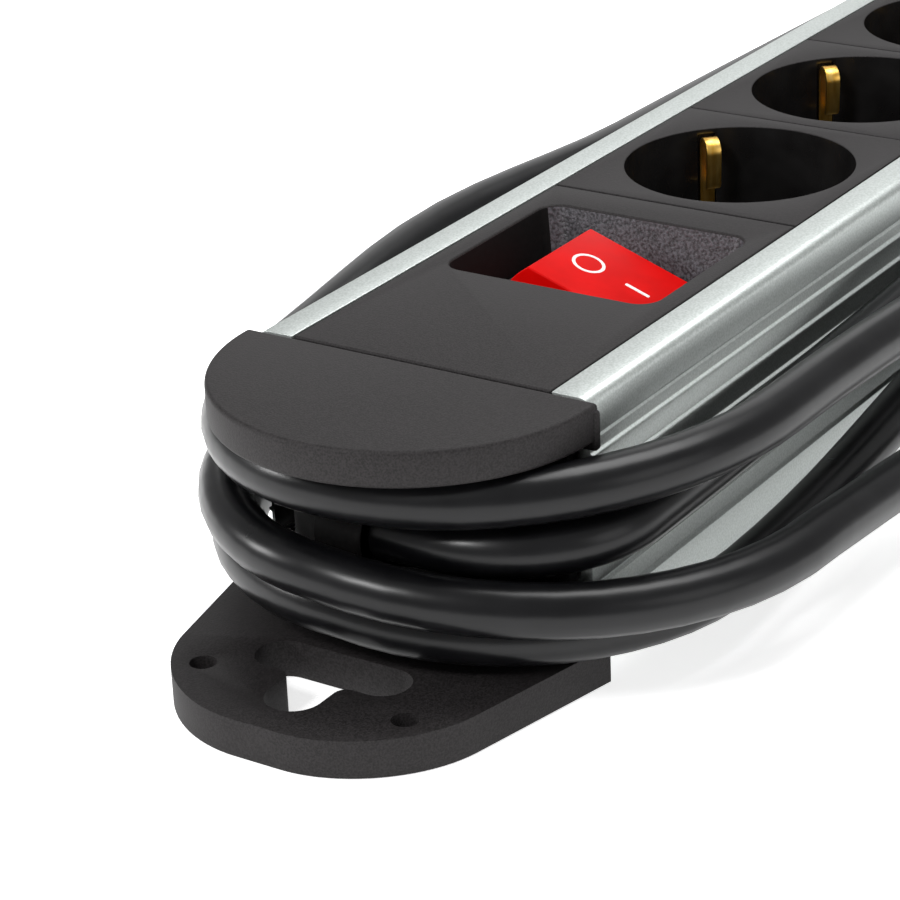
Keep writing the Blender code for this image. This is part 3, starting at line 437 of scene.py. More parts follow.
# Extruded aluminium, matt anodised: fine lines run along the strip and tiny crystals sparkle.
anodised_aluminium, tree, shader = new_finish("anodised_aluminium", "#c6ccc9", 0.48, 1.0)
line = grain(tree, 0.7, 3.0, (0.02, 1.0, 1.0))
spark = grain(tree, 0.35, 1.0)
vary_colour(tree, shader, spark, "#bec4c1", "#d0d5d3")
vary_roughness(tree, shader, spark, 0.42, 0.55)
bump(tree, shader, line, 0.02, 0.3)

# Stamped brass strip with a bright gold-coloured surface.
stamped_brass, tree, shader = new_finish("stamped_brass", "#efbc55", 0.34, 1.0)
drawn = grain(tree, 1.2, 2.0, (1.0, 1.0, 0.15))
vary_colour(tree, shader, drawn, "#e6b048", "#f7cc70")
vary_roughness(tree, shader, drawn, 0.28, 0.4)

# Nickel-plated steel for pins and screws.
nickel_steel, tree, shader = new_finish("nickel_steel", "#c6c4be", 0.25, 1.0)
drawn = grain(tree, 0.8, 2.0, (0.1, 1.0, 1.0))
vary_colour(tree, shader, drawn, "#bdbab3", "#d0cec9")
vary_roughness(tree, shader, drawn, 0.18, 0.34)

# Grey polyamide for the hidden tray.
grey_polyamide, tree, shader = new_finish("grey_polyamide", "#a9a9a4", 0.6)
speck = grain(tree, 0.8)
vary_colour(tree, shader, speck, "#a1a19c", "#b1b1ac")
print("sheath, aluminium, brass, nickel and polyamide made")

# %% Red plastic and white print
PAINTED_GLOW = 0.2
# Polycarbonate rocker: strong red with a soft gloss. A red glow is painted in, as if the rocker were a faint lamp,
# to lift its shadows.
red_polycarbonate_painted_glow, tree, shader = new_finish("red_polycarbonate_painted_glow", "#c20504", 0.35, specular=0.06)
cloud = grain(tree, 5.0)
vary_colour(tree, shader, cloud, "#bc0403", "#c80605")
vary_roughness(tree, shader, cloud, 0.3, 0.42)
# Painted light: the rocker glows faint red though it is no lamp.
shader.inputs["Emission Color"].default_value = linear("#d00402")
shader.inputs["Emission Strength"].default_value = PAINTED_GLOW

# White pad printing on the rocker.
white_print, tree, shader = new_finish("white_print", "#f2efee", 0.45)
fleck = grain(tree, 0.6)
vary_colour(tree, shader, fleck, "#ebe7e6", "#f8f6f5")
print("red polycarbonate and white print made")

# %% Dress the frame's parts
FINISH_OF_SLOT = {
    "aluminium": anodised_aluminium,
    "black_plastic": grained_abs,
    "red_plastic": red_polycarbonate_painted_glow,
    "brass": stamped_brass,
    "steel": nickel_steel,
    "cable": pvc_sheath,
    "insulator": grey_polyamide,
}
for entry in frame["record"]["subparts"]:
    mesh = nodes[entry["node"]].data
    mesh.materials.clear()
    mesh.materials.append(FINISH_OF_SLOT[entry["material_slot"]])
lead_curve.materials.append(pvc_sheath)
print(f"finishes: {len(FINISH_OF_SLOT)} slots dressed")

# %% [markdown]
# ## Working as by hand
# Every new piece starts from a primitive at its size and place and is then cut, bevelled and
# rounded. A mesh could also be written down point by point, but a shape that is added, cut and
# bevelled stays easy to follow and to change. These helpers keep only one object selected and leave
# each piece at the origin, with its place in its mesh. OVERCUT is how far a cutter stands past the
# face that it cuts, and TOUCH how near two points are to be the same.

# %% Helpers for adding and cutting
TOUCH = 0.01
OVERCUT = 1.0


def keep_selected(piece):
    bpy.ops.object.select_all(action="DESELECT")
    piece.select_set(True)
    bpy.context.view_layer.objects.active = piece


def settle(piece, name):
    """Names a new primitive and puts its place and size into its mesh."""
    keep_selected(piece)
    piece.name = name
    bpy.ops.object.transform_apply(location=True, rotation=True, scale=True)
    return piece


def add_block(name, low, high):
    bpy.ops.object.select_all(action="DESELECT")
    middle = [(a + b) / 2 * MM for a, b in zip(low, high)]
    bpy.ops.mesh.primitive_cube_add(size=1.0, location=middle)
    piece = bpy.context.active_object
    piece.scale = [abs(b - a) * MM for a, b in zip(low, high)]
    return settle(piece, name)


def add_round(name, centre, along, length, radius, sides=64, end_radius=None):
    """A round bar or cone about its centre; along is the axis it lies on."""
    bpy.ops.object.select_all(action="DESELECT")
    turns = {"X": (0.0, math.pi / 2, 0.0), "Y": (-math.pi / 2, 0.0, 0.0), "Z": (0.0, 0.0, 0.0)}
    top = radius if end_radius is None else end_radius
    bpy.ops.mesh.primitive_cone_add(vertices=sides, radius1=radius * MM, radius2=top * MM,
                                    depth=length * MM, location=[c * MM for c in centre],
                                    rotation=turns[along])
    return settle(bpy.context.active_object, name)


def modify(piece, kind, **settings):
    """Adds a modifier with its settings and applies it."""
    keep_selected(piece)
    step = piece.modifiers.new(kind.title(), kind)
    for name, value in settings.items():
        setattr(step, name, value)
    bpy.ops.object.modifier_apply(modifier=step.name)


def cut(piece, cutter):
    modify(piece, "BOOLEAN", operation="DIFFERENCE", object=cutter)
    bpy.data.objects.remove(cutter, do_unlink=True)


# %% Helpers for edges and finishing
def round_edges(piece, width, segments=3, angle=40.0):
    modify(piece, "BEVEL", width=width * MM, segments=segments, limit_method="ANGLE",
           angle_limit=math.radians(angle), harden_normals=False)


def pick_edges(piece, test):
    """Enters edit mode with only the edges selected whose two ends, in millimetres, pass the test."""
    keep_selected(piece)
    bpy.ops.object.mode_set(mode="EDIT")
    bpy.ops.mesh.select_mode(type="EDGE")
    shape = bmesh.from_edit_mesh(piece.data)
    for edge in shape.edges:
        a, b = (vert.co / MM for vert in edge.verts)
        edge.select = bool(test(a, b))
    bmesh.update_edit_mesh(piece.data)


def bevel_upright(piece, spots, width, segments, reach=0.5):
    """Bevels the upright edges that stand at the given spots in plan."""
    def stands(a, b):
        upright = abs(a.x - b.x) < TOUCH and abs(a.y - b.y) < TOUCH
        return upright and any(math.hypot(a.x - x, a.y - y) < reach for x, y in spots)
    pick_edges(piece, stands)
    bpy.ops.mesh.bevel(offset_type="ABSOLUTE", offset=width * MM, segments=segments, affect="EDGES")
    bpy.ops.object.mode_set(mode="OBJECT")


def slice_off(piece, point, normal):
    """Cuts away the side of a plane that its normal points to, and closes the cut."""
    keep_selected(piece)
    bpy.ops.object.mode_set(mode="EDIT")
    bpy.ops.mesh.select_all(action="SELECT")
    bpy.ops.mesh.bisect(plane_co=[c * MM for c in point], plane_no=normal, use_fill=True,
                        clear_outer=True)
    bpy.ops.object.mode_set(mode="OBJECT")


def smooth(piece, angle=35.0):
    keep_selected(piece)
    bpy.ops.object.shade_smooth_by_angle(angle=math.radians(angle))


def dress(piece, body, finish, slot_name, *stands_for):
    """Gives a finished piece its finish if it has none, puts it on its body and hides the CAD nodes that it stands
    for.
    """
    if not piece.data.materials:
        piece.data.materials.append(finish)
    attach(piece, body)
    if stands_for:
        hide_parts(*stands_for)


def join(first, others):
    keep_selected(first)
    for other in others:
        other.select_set(True)
    bpy.ops.object.join()
    return first


print("helpers ready")

# %% [markdown]
# ## Socket inserts
# Each insert is one black moulding: a flat land, a round well with a softened rim, two pin holes in
# its floor and a slot on each side for the earth clip. It could be drawn by inset and extrude, but
# a block with Boolean cuts and a small bevel gives truly round holes and crisp moulded edges. One is
# modelled and copied along the strip.

# %% Socket inserts
WELL_RADIUS = 19.5
WELL_DEPTH = 17.5
PIN_OFFSET = 6.72
PIN_HOLE_RADIUS = 2.75
CLIP_WIDTH = 2.6
CLIP_OUTER = WELL_RADIUS + 0.2
CLIP_BEND = 4.4
CLIP_THICK = 0.7
CLIP_TOP_DROP = 1.0
CLIP_LEG = 7.0
SLOT_RADIUS = 20.6
SOCKETS = 6
first_low, first_high = [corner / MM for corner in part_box("socket_insert_1")]
second_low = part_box("socket_insert_2")[0] / MM
SOCKET_PITCH = second_low.x - first_low.x
SOCKET_X = (first_low.x + first_high.x) / 2
LIP_EDGE = 22.6
INSERT_HALF = LIP_EDGE - CLEAR
INSERT_EDGE = 0.35
PIN_HOLE_CUT = 8.0
SLOT_INNER = CLIP_OUTER - 0.6
SLOT_MIDDLE = 10.0
RIM_DROP = 0.5
WALL_SKIN = 0.05

insert = add_block("socket_1", (first_low.x, -INSERT_HALF, first_low.z),
                   (first_high.x, INSERT_HALF, HEIGHT))
cut(insert, add_round("well", (SOCKET_X, 0, HEIGHT), "Z", 2 * WELL_DEPTH, WELL_RADIUS, 128))
for side in (1, -1):
    hole = (SOCKET_X + side * PIN_OFFSET, -side * PIN_OFFSET, first_low.z)
    cut(insert, add_round("pin_hole", hole, "Z", PIN_HOLE_CUT, PIN_HOLE_RADIUS, 40))
slot_half = CLIP_WIDTH / 2 + CLEAR
slot = add_block("clip_slot", (-SLOT_RADIUS, -slot_half, first_low.z - OVERCUT),
                 (SLOT_RADIUS, slot_half, HEIGHT - CLIP_TOP_DROP))
middle = add_block("middle", (-SLOT_INNER, -SLOT_MIDDLE, first_low.z - 2 * OVERCUT),
                   (SLOT_INNER, SLOT_MIDDLE, HEIGHT))
cut(slot, middle)
slot.rotation_euler.z = math.pi / 4
slot.location.x = SOCKET_X * MM
settle(slot, "clip_slot")
cut(insert, slot)
round_edges(insert, INSERT_EDGE)
insert.data.materials.append(grained_abs)
insert.data.materials.append(polished_abs)
for face in insert.data.polygons:
    spot = face.center / MM
    inside = math.hypot(spot.x - SOCKET_X, spot.y) < WELL_RADIUS + WALL_SKIN
    face.material_index = 1 if inside and spot.z < HEIGHT - RIM_DROP else 0
smooth(insert)


def copies_along(first, stem):
    """The first piece and a copy of it for each further socket, each with its own mesh."""
    pieces = [first]
    for number in range(1, SOCKETS):
        piece = first.copy()
        piece.data = first.data.copy()
        piece.name = f"{stem}_{number + 1}"
        bpy.context.scene.collection.objects.link(piece)
        piece.data.transform(Matrix.Translation((number * SOCKET_PITCH * MM, 0, 0)))
        pieces.append(piece)
    return pieces


for number, piece in enumerate(copies_along(insert, "socket"), 1):
    dress(piece, "body", grained_abs, "black_plastic", f"socket_insert_{number}")
print(f"sockets: {SOCKETS} of {len(insert.data.polygons)} faces each")

# %% [markdown]
# ## Earth clips
# A clip is one strip of brass, bent into a hairpin on each side of the well. A bevelled curve could
# give its line, but not a flat strip, so it is drawn the way it is bent: an edge is pulled up the
# well's wall, spun over the top and pulled down again. A half turn makes the other side, and
# Solidify gives the strip its thickness.

# %% Earth clips
clip_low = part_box("earth_clip_1")[0].z / MM + CLIP_THICK / 2
BEND_RADIUS = CLIP_BEND / 2
BEND_Z = HEIGHT - CLIP_TOP_DROP - CLIP_THICK / 2 - BEND_RADIUS
KNEE = 0.9
SPRING = 0.25
SPRING_DROP = CLIP_LEG * 0.7
TOE_RADIUS = 1.6
TOE_TURN = 50.0
CLIP_EDGE = 0.12
WELD = 0.02


def pull(x, z):
    """Extrudes the selected edge by a move in millimetres."""
    bpy.ops.mesh.extrude_edges_move(TRANSFORM_OT_translate={"value": (x * MM, 0.0, z * MM)})


def bend(x, z, degrees, steps):
    """Spins the selected edge about a line across the strip; with no window it turns the other way."""
    bpy.ops.mesh.spin(steps=steps, angle=math.radians(degrees), center=(x * MM, 0.0, z * MM),
                      axis=(0, 1, 0))


bpy.ops.object.select_all(action="DESELECT")
bpy.ops.mesh.primitive_plane_add(size=1.0)
clip = bpy.context.active_object
clip.scale = (CLIP_WIDTH * MM, CLIP_WIDTH * MM, 1.0)
clip.location = (-CLIP_WIDTH / 2 * MM, 0, clip_low * MM)
settle(clip, "clip_1")
pick_edges(clip, lambda a, b: abs(a.x) < TOUCH and abs(b.x) < TOUCH)
pull(CLIP_OUTER - KNEE, 0.0)
bend(CLIP_OUTER - KNEE, clip_low + KNEE, 90.0, 5)
pull(0.0, BEND_Z - clip_low - KNEE)
bend(CLIP_OUTER - BEND_RADIUS, BEND_Z, 180.0, 18)
pull(SPRING, -SPRING_DROP)
bend(CLIP_OUTER - CLIP_BEND + SPRING + TOE_RADIUS, BEND_Z - SPRING_DROP, TOE_TURN, 6)
bpy.ops.object.mode_set(mode="OBJECT")
print(f"clip: strip bent at {BEND_Z:.1f} mm")

# %% The other half of a clip, its thickness and its copies
keep_selected(clip)
bpy.ops.object.mode_set(mode="EDIT")
bpy.ops.mesh.select_all(action="DESELECT")
bpy.ops.mesh.select_mode(type="FACE")
strip = bmesh.from_edit_mesh(clip.data)
for face in strip.faces:
    face.select = face.calc_center_median().x < 0
bmesh.update_edit_mesh(clip.data)
bpy.ops.mesh.delete(type="FACE")
bpy.ops.mesh.select_all(action="SELECT")
bpy.ops.mesh.duplicate()
bpy.ops.transform.rotate(value=math.pi, orient_axis="Z", center_override=(0.0, 0.0, 0.0))
bpy.ops.mesh.select_all(action="SELECT")
bpy.ops.mesh.remove_doubles(threshold=WELD * MM)
bpy.ops.mesh.normals_make_consistent(inside=False)
bpy.ops.object.mode_set(mode="OBJECT")
modify(clip, "SOLIDIFY", thickness=CLIP_THICK * MM, offset=0.0)
round_edges(clip, CLIP_EDGE, 2, 50.0)
smooth(clip, 40.0)
clip.rotation_euler.z = math.pi / 4
clip.location.x = SOCKET_X * MM
settle(clip, "clip_1")
for number, piece in enumerate(copies_along(clip, "clip"), 1):
    dress(piece, "body", stamped_brass, "brass", f"earth_clip_{number}")
print(f"clips: {SOCKETS} hairpin strips, {len(clip.data.polygons)} faces each")

# %% [markdown]
# ## Switch cover
# The switch sits in a pocket with leaning walls, so the rocker stays below the hand. The walls could
# be pulled down from the top face, but the four round corners are easier on a cutter: a block whose
# lower end is drawn in and whose upright edges are bevelled.

# %% Switch cover
POCKET_LENGTH = 32.9
POCKET_WIDTH = 37.6
POCKET_TAPER = 3.4
POCKET_DEPTH = 9.0
POCKET_CORNER = 3.5
POCKET_RIM = 0.4
WALL_FACING = 0.5
POCKET_OVERCUT = 0.02
COVER_EDGE = 0.45
BEZEL_LIP = 1.2
hinge = frame["joints"][0]
PIVOT = Vector(hinge["pos_m"]) / MM
cover_low, cover_high = [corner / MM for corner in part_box("switch_cover")]
cover = add_block("cover", (cover_low.x, -INSERT_HALF, cover_low.z),
                  (cover_high.x, INSERT_HALF, HEIGHT))
half_x = POCKET_LENGTH / 2
half_y = POCKET_WIDTH / 2
floor_z = HEIGHT - POCKET_DEPTH
pocket = add_block("pocket", (PIVOT.x - half_x, -half_y, floor_z),
                   (PIVOT.x + half_x, half_y, HEIGHT + POCKET_OVERCUT))
pick_edges(pocket, lambda a, b: max(a.z, b.z) < floor_z + TOUCH)
drawn_in = (1 - POCKET_TAPER / POCKET_LENGTH, 1 - POCKET_TAPER / POCKET_WIDTH, 1.0)
bpy.ops.transform.resize(value=drawn_in, center_override=(PIVOT.x * MM, 0.0, floor_z * MM))
bpy.ops.object.mode_set(mode="OBJECT")
pick_edges(pocket, lambda a, b: abs(a.z - b.z) > POCKET_DEPTH / 2)
bpy.ops.mesh.bevel(offset_type="ABSOLUTE", offset=POCKET_CORNER * MM, segments=8, affect="EDGES")
bpy.ops.object.mode_set(mode="OBJECT")
cut(cover, pocket)
housing_low, housing_high = [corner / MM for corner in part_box("switch_housing")]
inner = BEZEL_LIP - CLEAR
mouth = add_block("mouth", (housing_low.x + inner, housing_low.y + inner, cover_low.z - OVERCUT),
                  (housing_high.x - inner, housing_high.y - inner, floor_z + OVERCUT))
cut(cover, mouth)
round_edges(cover, COVER_EDGE)
cover.data.materials.append(grained_abs)
cover.data.materials.append(eroded_painted_lit_abs)
cover.data.materials.append(painted_shade_abs)
# Painted light and shade: the pocket's faces that face the front lamp get the lighter eroded ABS, and its other
# faces the darker ABS for the shade they lie in.
for face in cover.data.polygons:
    spot = face.center / MM
    in_pocket = abs(spot.x - PIVOT.x) < half_x and abs(spot.y) < half_y
    if in_pocket and spot.z < HEIGHT - POCKET_RIM:
        gets_painted_light = face.normal.x < -WALL_FACING
        face.material_index = 1 if gets_painted_light else 2
smooth(cover)
dress(cover, "body", grained_abs, "black_plastic", "switch_cover")
print(f"switch cover: {len(cover.data.polygons)} faces")

# %% [markdown]
# ## Rocker
# The rocker's ends are arcs about its pivot, so that it clears its frame as it tips. A block would
# need both arcs drawn, so it starts as a round bar along the pivot's axis. Two cuts with Bisect leave
# the face above and the flat underside below, a chamfer and a hair of bevel soften the edges, and the
# whole is tilted with its O end up.

# %% Rocker
ROCKER_LENGTH = 19.4
ROCKER_HALF = 10.3
ROCKER_RISE = 9.0
ROCKER_TILT = 19.0
ROCKER_UNDER = 0.7
ROCKER_CHAMFER = 0.9
ROCKER_EDGE = 0.12
rocker_radius = math.hypot(ROCKER_HALF, ROCKER_RISE)
rocker = add_round("rocker_cap", (0, 0, 0), "X", ROCKER_LENGTH, rocker_radius, 160)
slice_off(rocker, (0, 0, ROCKER_RISE), (0, 0, 1))
slice_off(rocker, (0, 0, -ROCKER_UNDER), (0, 0, -1))
round_edges(rocker, ROCKER_CHAMFER, 1, 60.0)
round_edges(rocker, ROCKER_EDGE, 2, 30.0)
smooth(rocker, 20.0)
tilt = Matrix.Translation(PIVOT * MM) @ Matrix.Rotation(math.radians(ROCKER_TILT), 4, "X")
rocker.data.transform(tilt)
dress(rocker, "rocker", red_polycarbonate_painted_glow, "red_plastic", "rocker")
print(f"rocker: {len(rocker.data.polygons)} faces, tilted {ROCKER_TILT} degrees")

# %% [markdown]
# The O and the I are printed on the face. A picture on the face would blur from near by, so each is
# a thin piece of its own. The ring is a disc that is inset and emptied, and the bar a slim plate.
# Both are raised by the thickness of the ink.

# %% Marks on the rocker
INK = 0.04
RING_RADIUS = 2.75
RING_STROKE = 0.55
RING_Y = 4.8
BAR_LENGTH = 4.5
BAR_WIDTH = 0.7
BAR_Y = -4.5
BAR_CORNER = BAR_WIDTH * 0.3

bpy.ops.object.select_all(action="DESELECT")
bpy.ops.mesh.primitive_circle_add(vertices=64, radius=RING_RADIUS * MM, fill_type="NGON",
                                  location=(0, RING_Y * MM, ROCKER_RISE * MM))
ring = settle(bpy.context.active_object, "mark_off")
bpy.ops.object.mode_set(mode="EDIT")
bpy.ops.mesh.select_all(action="SELECT")
bpy.ops.mesh.inset(thickness=RING_STROKE * MM)
bpy.ops.mesh.delete(type="FACE")
bpy.ops.mesh.select_all(action="SELECT")
bpy.ops.mesh.extrude_region_move(TRANSFORM_OT_translate={"value": (0, 0, INK * MM)})
bpy.ops.mesh.select_all(action="SELECT")
bpy.ops.mesh.normals_make_consistent(inside=False)
bpy.ops.object.mode_set(mode="OBJECT")
bar = add_block("mark_on", (-BAR_WIDTH / 2, BAR_Y - BAR_LENGTH / 2, ROCKER_RISE - INK),
                (BAR_WIDTH / 2, BAR_Y + BAR_LENGTH / 2, ROCKER_RISE + INK))
bar_corners = [(sx * BAR_WIDTH / 2, BAR_Y + sy * BAR_LENGTH / 2) for sx in (-1, 1) for sy in (-1, 1)]
bevel_upright(bar, bar_corners, BAR_CORNER, 4, BAR_WIDTH / 4)
for mark in (ring, bar):
    mark.data.transform(tilt)
    dress(mark, "rocker", white_print, "red_plastic")
print("marks: ring and bar on the rocker's face")

# %% [markdown]
# ## End caps
# A cap is one moulding: a half-round lid, a neck that the lead is wound on and a base flange with a
# keyhole to hang the strip by. It could be extruded upwards from one outline, but the three regions
# have different outlines and edges. So each starts from its own primitive, is cut and bevelled, and
# the shells are joined into one piece.

# %% Flanges
FLANGE_TIP = 44.6
FLANGE_HALF = 31.5
FLANGE_FLARE = math.radians(12.3)
FLANGE_CORNER = 22.0
KEYHOLE_ARM = 26.0
KEYHOLE_ARM_WIDTH = 8.3
KEYHOLE_ARM_X = 25.35
KEYHOLE_STEM_WIDTH = 8.8
KEYHOLE_STEM_TIP = 39.3
KEYHOLE_FILLET = 1.8
HOLE_RADIUS = 2.05
HOLE_CUT = 10.0
HOLE_X = 33.0
HOLE_Y = 17.6
FLANGE_EDGE = 0.7
# A bevel of exactly half the width would close on itself, so the round ends stop just short.
ROUND_END = 0.998


def model_flange(name, end, outward):
    """The base flange: a block with its tip drawn in, broad round corners, a keyhole and two holes."""
    tip_x = end + outward * FLANGE_TIP
    flange = add_block(name, (end + outward * CLEAR, -FLANGE_HALF, 0.0),
                       (tip_x, FLANGE_HALF, FLANGE_THICK))
    tip_half = FLANGE_HALF - FLANGE_TIP * math.tan(FLANGE_FLARE)
    pick_edges(flange, lambda a, b: abs(a.x - tip_x) < TOUCH and abs(b.x - tip_x) < TOUCH)
    bpy.ops.transform.resize(value=(1.0, tip_half / FLANGE_HALF, 1.0),
                             center_override=(tip_x * MM, 0.0, 0.0))
    bpy.ops.object.mode_set(mode="OBJECT")
    reach = FLANGE_CORNER * math.tan((math.pi / 2 - FLANGE_FLARE) / 2)
    bevel_upright(flange, [(tip_x, tip_half), (tip_x, -tip_half)], reach, 20)
    arm_near = KEYHOLE_ARM_X - KEYHOLE_ARM_WIDTH / 2
    arm_far = KEYHOLE_ARM_X + KEYHOLE_ARM_WIDTH / 2
    arm = add_block("arm", (end + outward * arm_near, -KEYHOLE_ARM / 2, -OVERCUT),
                    (end + outward * arm_far, KEYHOLE_ARM / 2, FLANGE_THICK + OVERCUT))
    arm_corners = [(end + outward * x, side * KEYHOLE_ARM / 2) for x in (arm_near, arm_far)
                   for side in (-1, 1)]
    bevel_upright(arm, arm_corners, KEYHOLE_ARM_WIDTH / 2 * ROUND_END, 10)
    cut(flange, arm)
    stem_half = KEYHOLE_STEM_WIDTH / 2
    stem = add_block("stem", (end + outward * KEYHOLE_ARM_X, -stem_half, -OVERCUT),
                     (end + outward * KEYHOLE_STEM_TIP, stem_half, FLANGE_THICK + OVERCUT))
    stem_tips = [(end + outward * KEYHOLE_STEM_TIP, side * stem_half) for side in (-1, 1)]
    bevel_upright(stem, stem_tips, stem_half * ROUND_END, 10)
    cut(flange, stem)
    stem_roots = [(end + outward * arm_far, side * stem_half) for side in (-1, 1)]
    bevel_upright(flange, stem_roots, KEYHOLE_FILLET, 6)
    for side in (1, -1):
        hole = (end + outward * HOLE_X, side * HOLE_Y, FLANGE_THICK / 2)
        cut(flange, add_round("hole", hole, "Z", HOLE_CUT, HOLE_RADIUS, 40))
    round_edges(flange, FLANGE_EDGE, 3, 50.0)
    return flange


# %% Lids and necks
LID_RADIUS = 30.5
LID_STRAIGHT = 1.0
LID_SKIRT_HALF = 30.9
LID_SKIRT_DROP = 7.0
PLATE_THICK = 2.5
PLATE_HALF = 26.35
NECK_TIP = 17.5
NECK_HALF = 19.6
NECK_ROOT = 2.0
NECK_CUT = 1.5
NECK_SINK = 1.0
PLATE_MARGIN = 1.0
PLATE_EDGE = 0.3
SKIRT_THICK = 2.0
SKIRT_EDGE = 0.6
LID_EDGE = 0.9


def model_lid(end, outward):
    """Half of a round disc, with a soft edge all round."""
    centre = (end + outward * LID_STRAIGHT, 0, HEIGHT - LID_THICK / 2)
    lid = add_round("lid", centre, "Z", LID_THICK, LID_RADIUS, 192)
    slice_off(lid, (end + outward * CLEAR, 0, 0), (-outward, 0, 0))
    round_edges(lid, LID_EDGE, 4, 50.0)
    return lid


def model_neck(end, outward):
    """An oval drum between lid and flange, the plate that closes the channel, and the lid's skirt."""
    length = HEIGHT - LID_THICK - FLANGE_THICK + 2 * NECK_SINK
    neck = add_round("neck", (0, 0, HEIGHT / 2), "Z", length, 1.0, 96)
    neck.scale = (NECK_TIP - NECK_ROOT, NECK_HALF, 1.0)
    neck.location.x = (end + outward * NECK_ROOT) * MM
    settle(neck, "neck")
    slice_off(neck, (end + outward * NECK_CUT, 0, 0), (-outward, 0, 0))
    plate = add_block("plate", (end + outward * CLEAR * 1.5, -PLATE_HALF, PLATE_MARGIN),
                      (end + outward * PLATE_THICK, PLATE_HALF, HEIGHT - PLATE_MARGIN))
    round_edges(plate, PLATE_EDGE, 2)
    skirt_low = HEIGHT - LID_SKIRT_DROP
    skirt = add_block("skirt", (end + outward * CLEAR * 1.2, -LID_SKIRT_HALF, skirt_low),
                      (end + outward * SKIRT_THICK, LID_SKIRT_HALF, HEIGHT - LID_EDGE))
    round_edges(skirt, SKIRT_EDGE, 3)
    return [neck, plate, skirt]


# %% The lead's outlet, and the caps
OUTLET_RADIUS = 6.0
OUTLET_PLACE = (NEAR - OUTLET_X, OUTLET_FACE, OUTLET_Z)
NOSE_LENGTH = 8.0
NOSE_EDGE = 0.4
NOSE_BORE = 12.0
NECK_BORE = 12.6
BORE_RADIUS = 5.3
LEAD_ROOM = LEAD_RADIUS + 0.6


def model_outlet():
    """The nose that the lead leaves by, a sleeve with a soft rim, and a cutter for the lead's room."""
    nose_middle = (NEAR - OUTLET_X, OUTLET_FACE + NOSE_LENGTH / 2, OUTLET_Z)
    nose = add_round("nose", nose_middle, "Y", NOSE_LENGTH, OUTLET_RADIUS, 64)
    cut(nose, add_round("bore", OUTLET_PLACE, "Y", NOSE_BORE, BORE_RADIUS, 48))
    round_edges(nose, NOSE_EDGE, 3)
    room = add_block("room", (NEAR - OUTLET_X - LEAD_ROOM, OUTLET_FACE - NECK_HALF, OUTLET_Z - LEAD_ROOM),
                     (NEAR - OUTLET_X + LEAD_ROOM, OUTLET_FACE, OUTLET_Z + LEAD_ROOM))
    return nose, room


# Painted shade: on each cap the neck, the plate and, on the near cap, the nose lie in the shade of the wound lead
# and get the darker ABS.
for name, end, outward in (("near_cap", NEAR, -1), ("far_cap", FAR, 1)):
    shells = [model_lid(end, outward)] + model_neck(end, outward)
    if outward < 0:
        nose, room = model_outlet()
        cut(shells[1], room)
        cut(shells[1], add_round("bore", OUTLET_PLACE, "Y", NECK_BORE, BORE_RADIUS, 48))
        shells.append(nose)
    flange = model_flange(name, end, outward)
    for shell in [flange] + shells:
        drum = shell.name.split(".")[0] in ("neck", "plate", "nose")
        shell.data.materials.clear()
        shell.data.materials.append(painted_shade_abs if drum else grained_abs)
    cap = join(flange, shells)
    cap.name = name
    smooth(cap, 40.0)
    dress(cap, "body", grained_abs, "black_plastic", name.replace("cap", "end_cap"))
    print(f"{name}: {len(cap.data.polygons)} faces")

# %% [markdown]
# ## Channel
# The extruded channel keeps its solid's section, so nothing is gained by drawing it again. A copy
# with its triangles merged can be shaded smoothly over the rounded corner, and a hair of bevel on
# every arris catches the light.

# %% Channel
CHANNEL_EDGE = 0.12
CHANNEL_WELD = 0.005
FLAT_WITHIN = 1.0
channel = nodes["aluminium_profile"].copy()
channel.data = nodes["aluminium_profile"].data.copy()
channel.name = "channel"
channel.parent = None
for key in list(channel.keys()):
    del channel[key]
bpy.context.scene.collection.objects.link(channel)
keep_selected(channel)
bpy.ops.object.mode_set(mode="EDIT")
bpy.ops.mesh.select_all(action="SELECT")
bpy.ops.mesh.remove_doubles(threshold=CHANNEL_WELD * MM)
bpy.ops.mesh.dissolve_limited(angle_limit=math.radians(FLAT_WITHIN))
bpy.ops.object.mode_set(mode="OBJECT")
round_edges(channel, CHANNEL_EDGE, 2, 30.0)
smooth(channel, 40.0)
dress(channel, "body", anodised_aluminium, "aluminium", "aluminium_profile")
print(f"channel: {len(channel.data.polygons)} faces")

# %% [markdown]
# ## Plug
# The lead ends in a straight earthed plug with a grooved boot. Both could be spun from an outline,
# but cones and discs with ring cutters need no points to be written down. The pins get domed tips,
# and the earth contacts sit in grooves at the plug's sides.

# %% Boot of the plug
BOOT_GROOVES = 4
GROOVE_WIDTH = 1.6
GROOVE_DEPTH = 0.9
GROOVE_SPREAD = BOOT_GROOVES + 1.5
BOOT_EDGE = 0.3
BOOT_WALL = 1.3
boot_low, boot_high = [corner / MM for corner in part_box("plug_boot")]
body_low, body_high = [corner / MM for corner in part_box("plug_body")]
plug_y = (body_low.y + body_high.y) / 2
plug_z = (body_low.z + body_high.z) / 2
plug_radius = (body_high.y - body_low.y) / 2
boot_radius = (boot_high.y - boot_low.y) / 2
boot_tip = LEAD_RADIUS + BOOT_WALL
boot_length = boot_high.x - boot_low.x


def on_axis(x):
    return (x, plug_y, plug_z)


boot_middle = on_axis((boot_low.x + boot_high.x) / 2)
boot = add_round("boot", boot_middle, "X", boot_length, boot_tip, 64, boot_radius)
for number in range(BOOT_GROOVES):
    along = (number + 1) / GROOVE_SPREAD
    place = on_axis(boot_low.x + along * boot_length)
    ring = add_round("ring", place, "X", GROOVE_WIDTH, boot_radius * 2, 64)
    depth = boot_tip + along * (boot_radius - boot_tip) - GROOVE_DEPTH
    cut(ring, add_round("core", place, "X", GROOVE_WIDTH * 2, depth, 64))
    cut(boot, ring)
round_edges(boot, BOOT_EDGE, 2)
smooth(boot)
dress(boot, "body", pvc_sheath, "cable", "plug_boot")
print(f"boot: {boot_length:.1f} mm long with {BOOT_GROOVES} grooves")

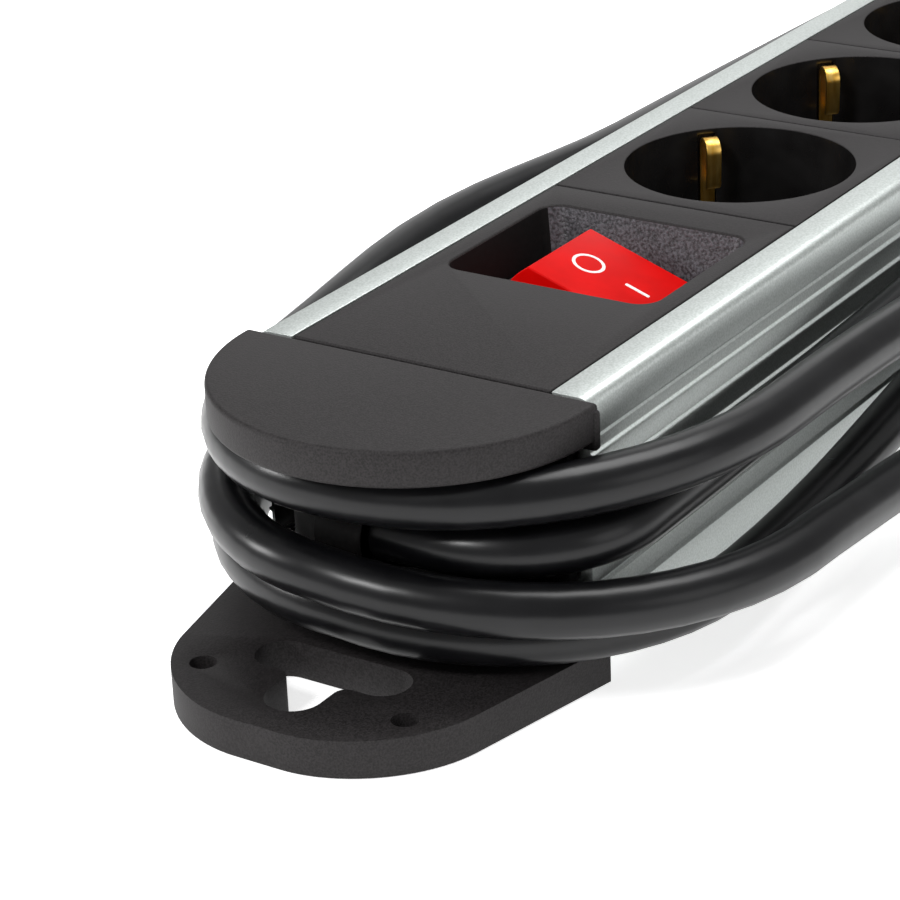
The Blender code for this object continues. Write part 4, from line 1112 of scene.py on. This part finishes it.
# %% Plug
PLUG_DISC = 18.0
PLUG_NECK_RADIUS = 10.0
PLUG_EDGE = 0.5
SHOULDER_STEP = 1.2
SHOULDER_LAP = 0.5
PIN_DOME = 0.45
CONTACT_EDGE = 0.2
disc_x = body_high.x - PLUG_DISC
body = add_round("plug", on_axis((disc_x + body_high.x) / 2), "X", PLUG_DISC, plug_radius, 128)
shoulder_length = disc_x - body_low.x + SHOULDER_LAP
shoulder = add_round("shoulder", on_axis((body_low.x + disc_x) / 2), "X", shoulder_length,
                     PLUG_NECK_RADIUS, 128, plug_radius - SHOULDER_STEP)
modify(body, "BOOLEAN", operation="UNION", object=shoulder)
bpy.data.objects.remove(shoulder, do_unlink=True)
fittings = []
for number in (1, 2):
    pin_low, pin_high = [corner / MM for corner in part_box(f"plug_pin_{number}")]
    pin_y = (pin_low.y + pin_high.y) / 2
    pin_radius = (pin_high.y - pin_low.y) / 2
    pin_middle = ((pin_low.x + pin_high.x) / 2, pin_y, plug_z)
    seat_length = 2 * (body_high.x - pin_low.x) + OVERCUT
    cut(body, add_round("seat", (pin_low.x, pin_y, plug_z), "X", seat_length, pin_radius + CLEAR, 40))
    pin = add_round(f"pin_{number}", pin_middle, "X", pin_high.x - pin_low.x, pin_radius, 40)
    round_edges(pin, pin_radius * PIN_DOME, 4)
    smooth(pin, 50.0)
    dress(pin, "body", nickel_steel, "steel", f"plug_pin_{number}")
    low, high = [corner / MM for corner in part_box(f"plug_earth_contact_{number}")]
    outward = 1 if low.z > plug_z else -1
    floor_edge = low.z - CLEAR if outward > 0 else high.z + CLEAR
    rim_edge = plug_z + outward * (plug_radius + OVERCUT)
    cut(body, add_block("groove", (low.x - CLEAR, low.y - CLEAR, min(floor_edge, rim_edge)),
                        (high.x + OVERCUT, high.y + CLEAR, max(floor_edge, rim_edge))))
    contact = add_block(f"contact_{number}", low, high)
    round_edges(contact, CONTACT_EDGE, 2)
    smooth(contact)
    dress(contact, "body", nickel_steel, "steel", f"plug_earth_contact_{number}")
    fittings += [pin, contact]
round_edges(body, PLUG_EDGE, 3)
smooth(body)
dress(body, "body", pvc_sheath, "cable", "plug_body")
print(f"plug: body of {len(body.data.polygons)} faces, boot, two pins and two earth contacts")

# %% [markdown]
# At the end the view layer is updated.

bpy.context.view_layer.update()
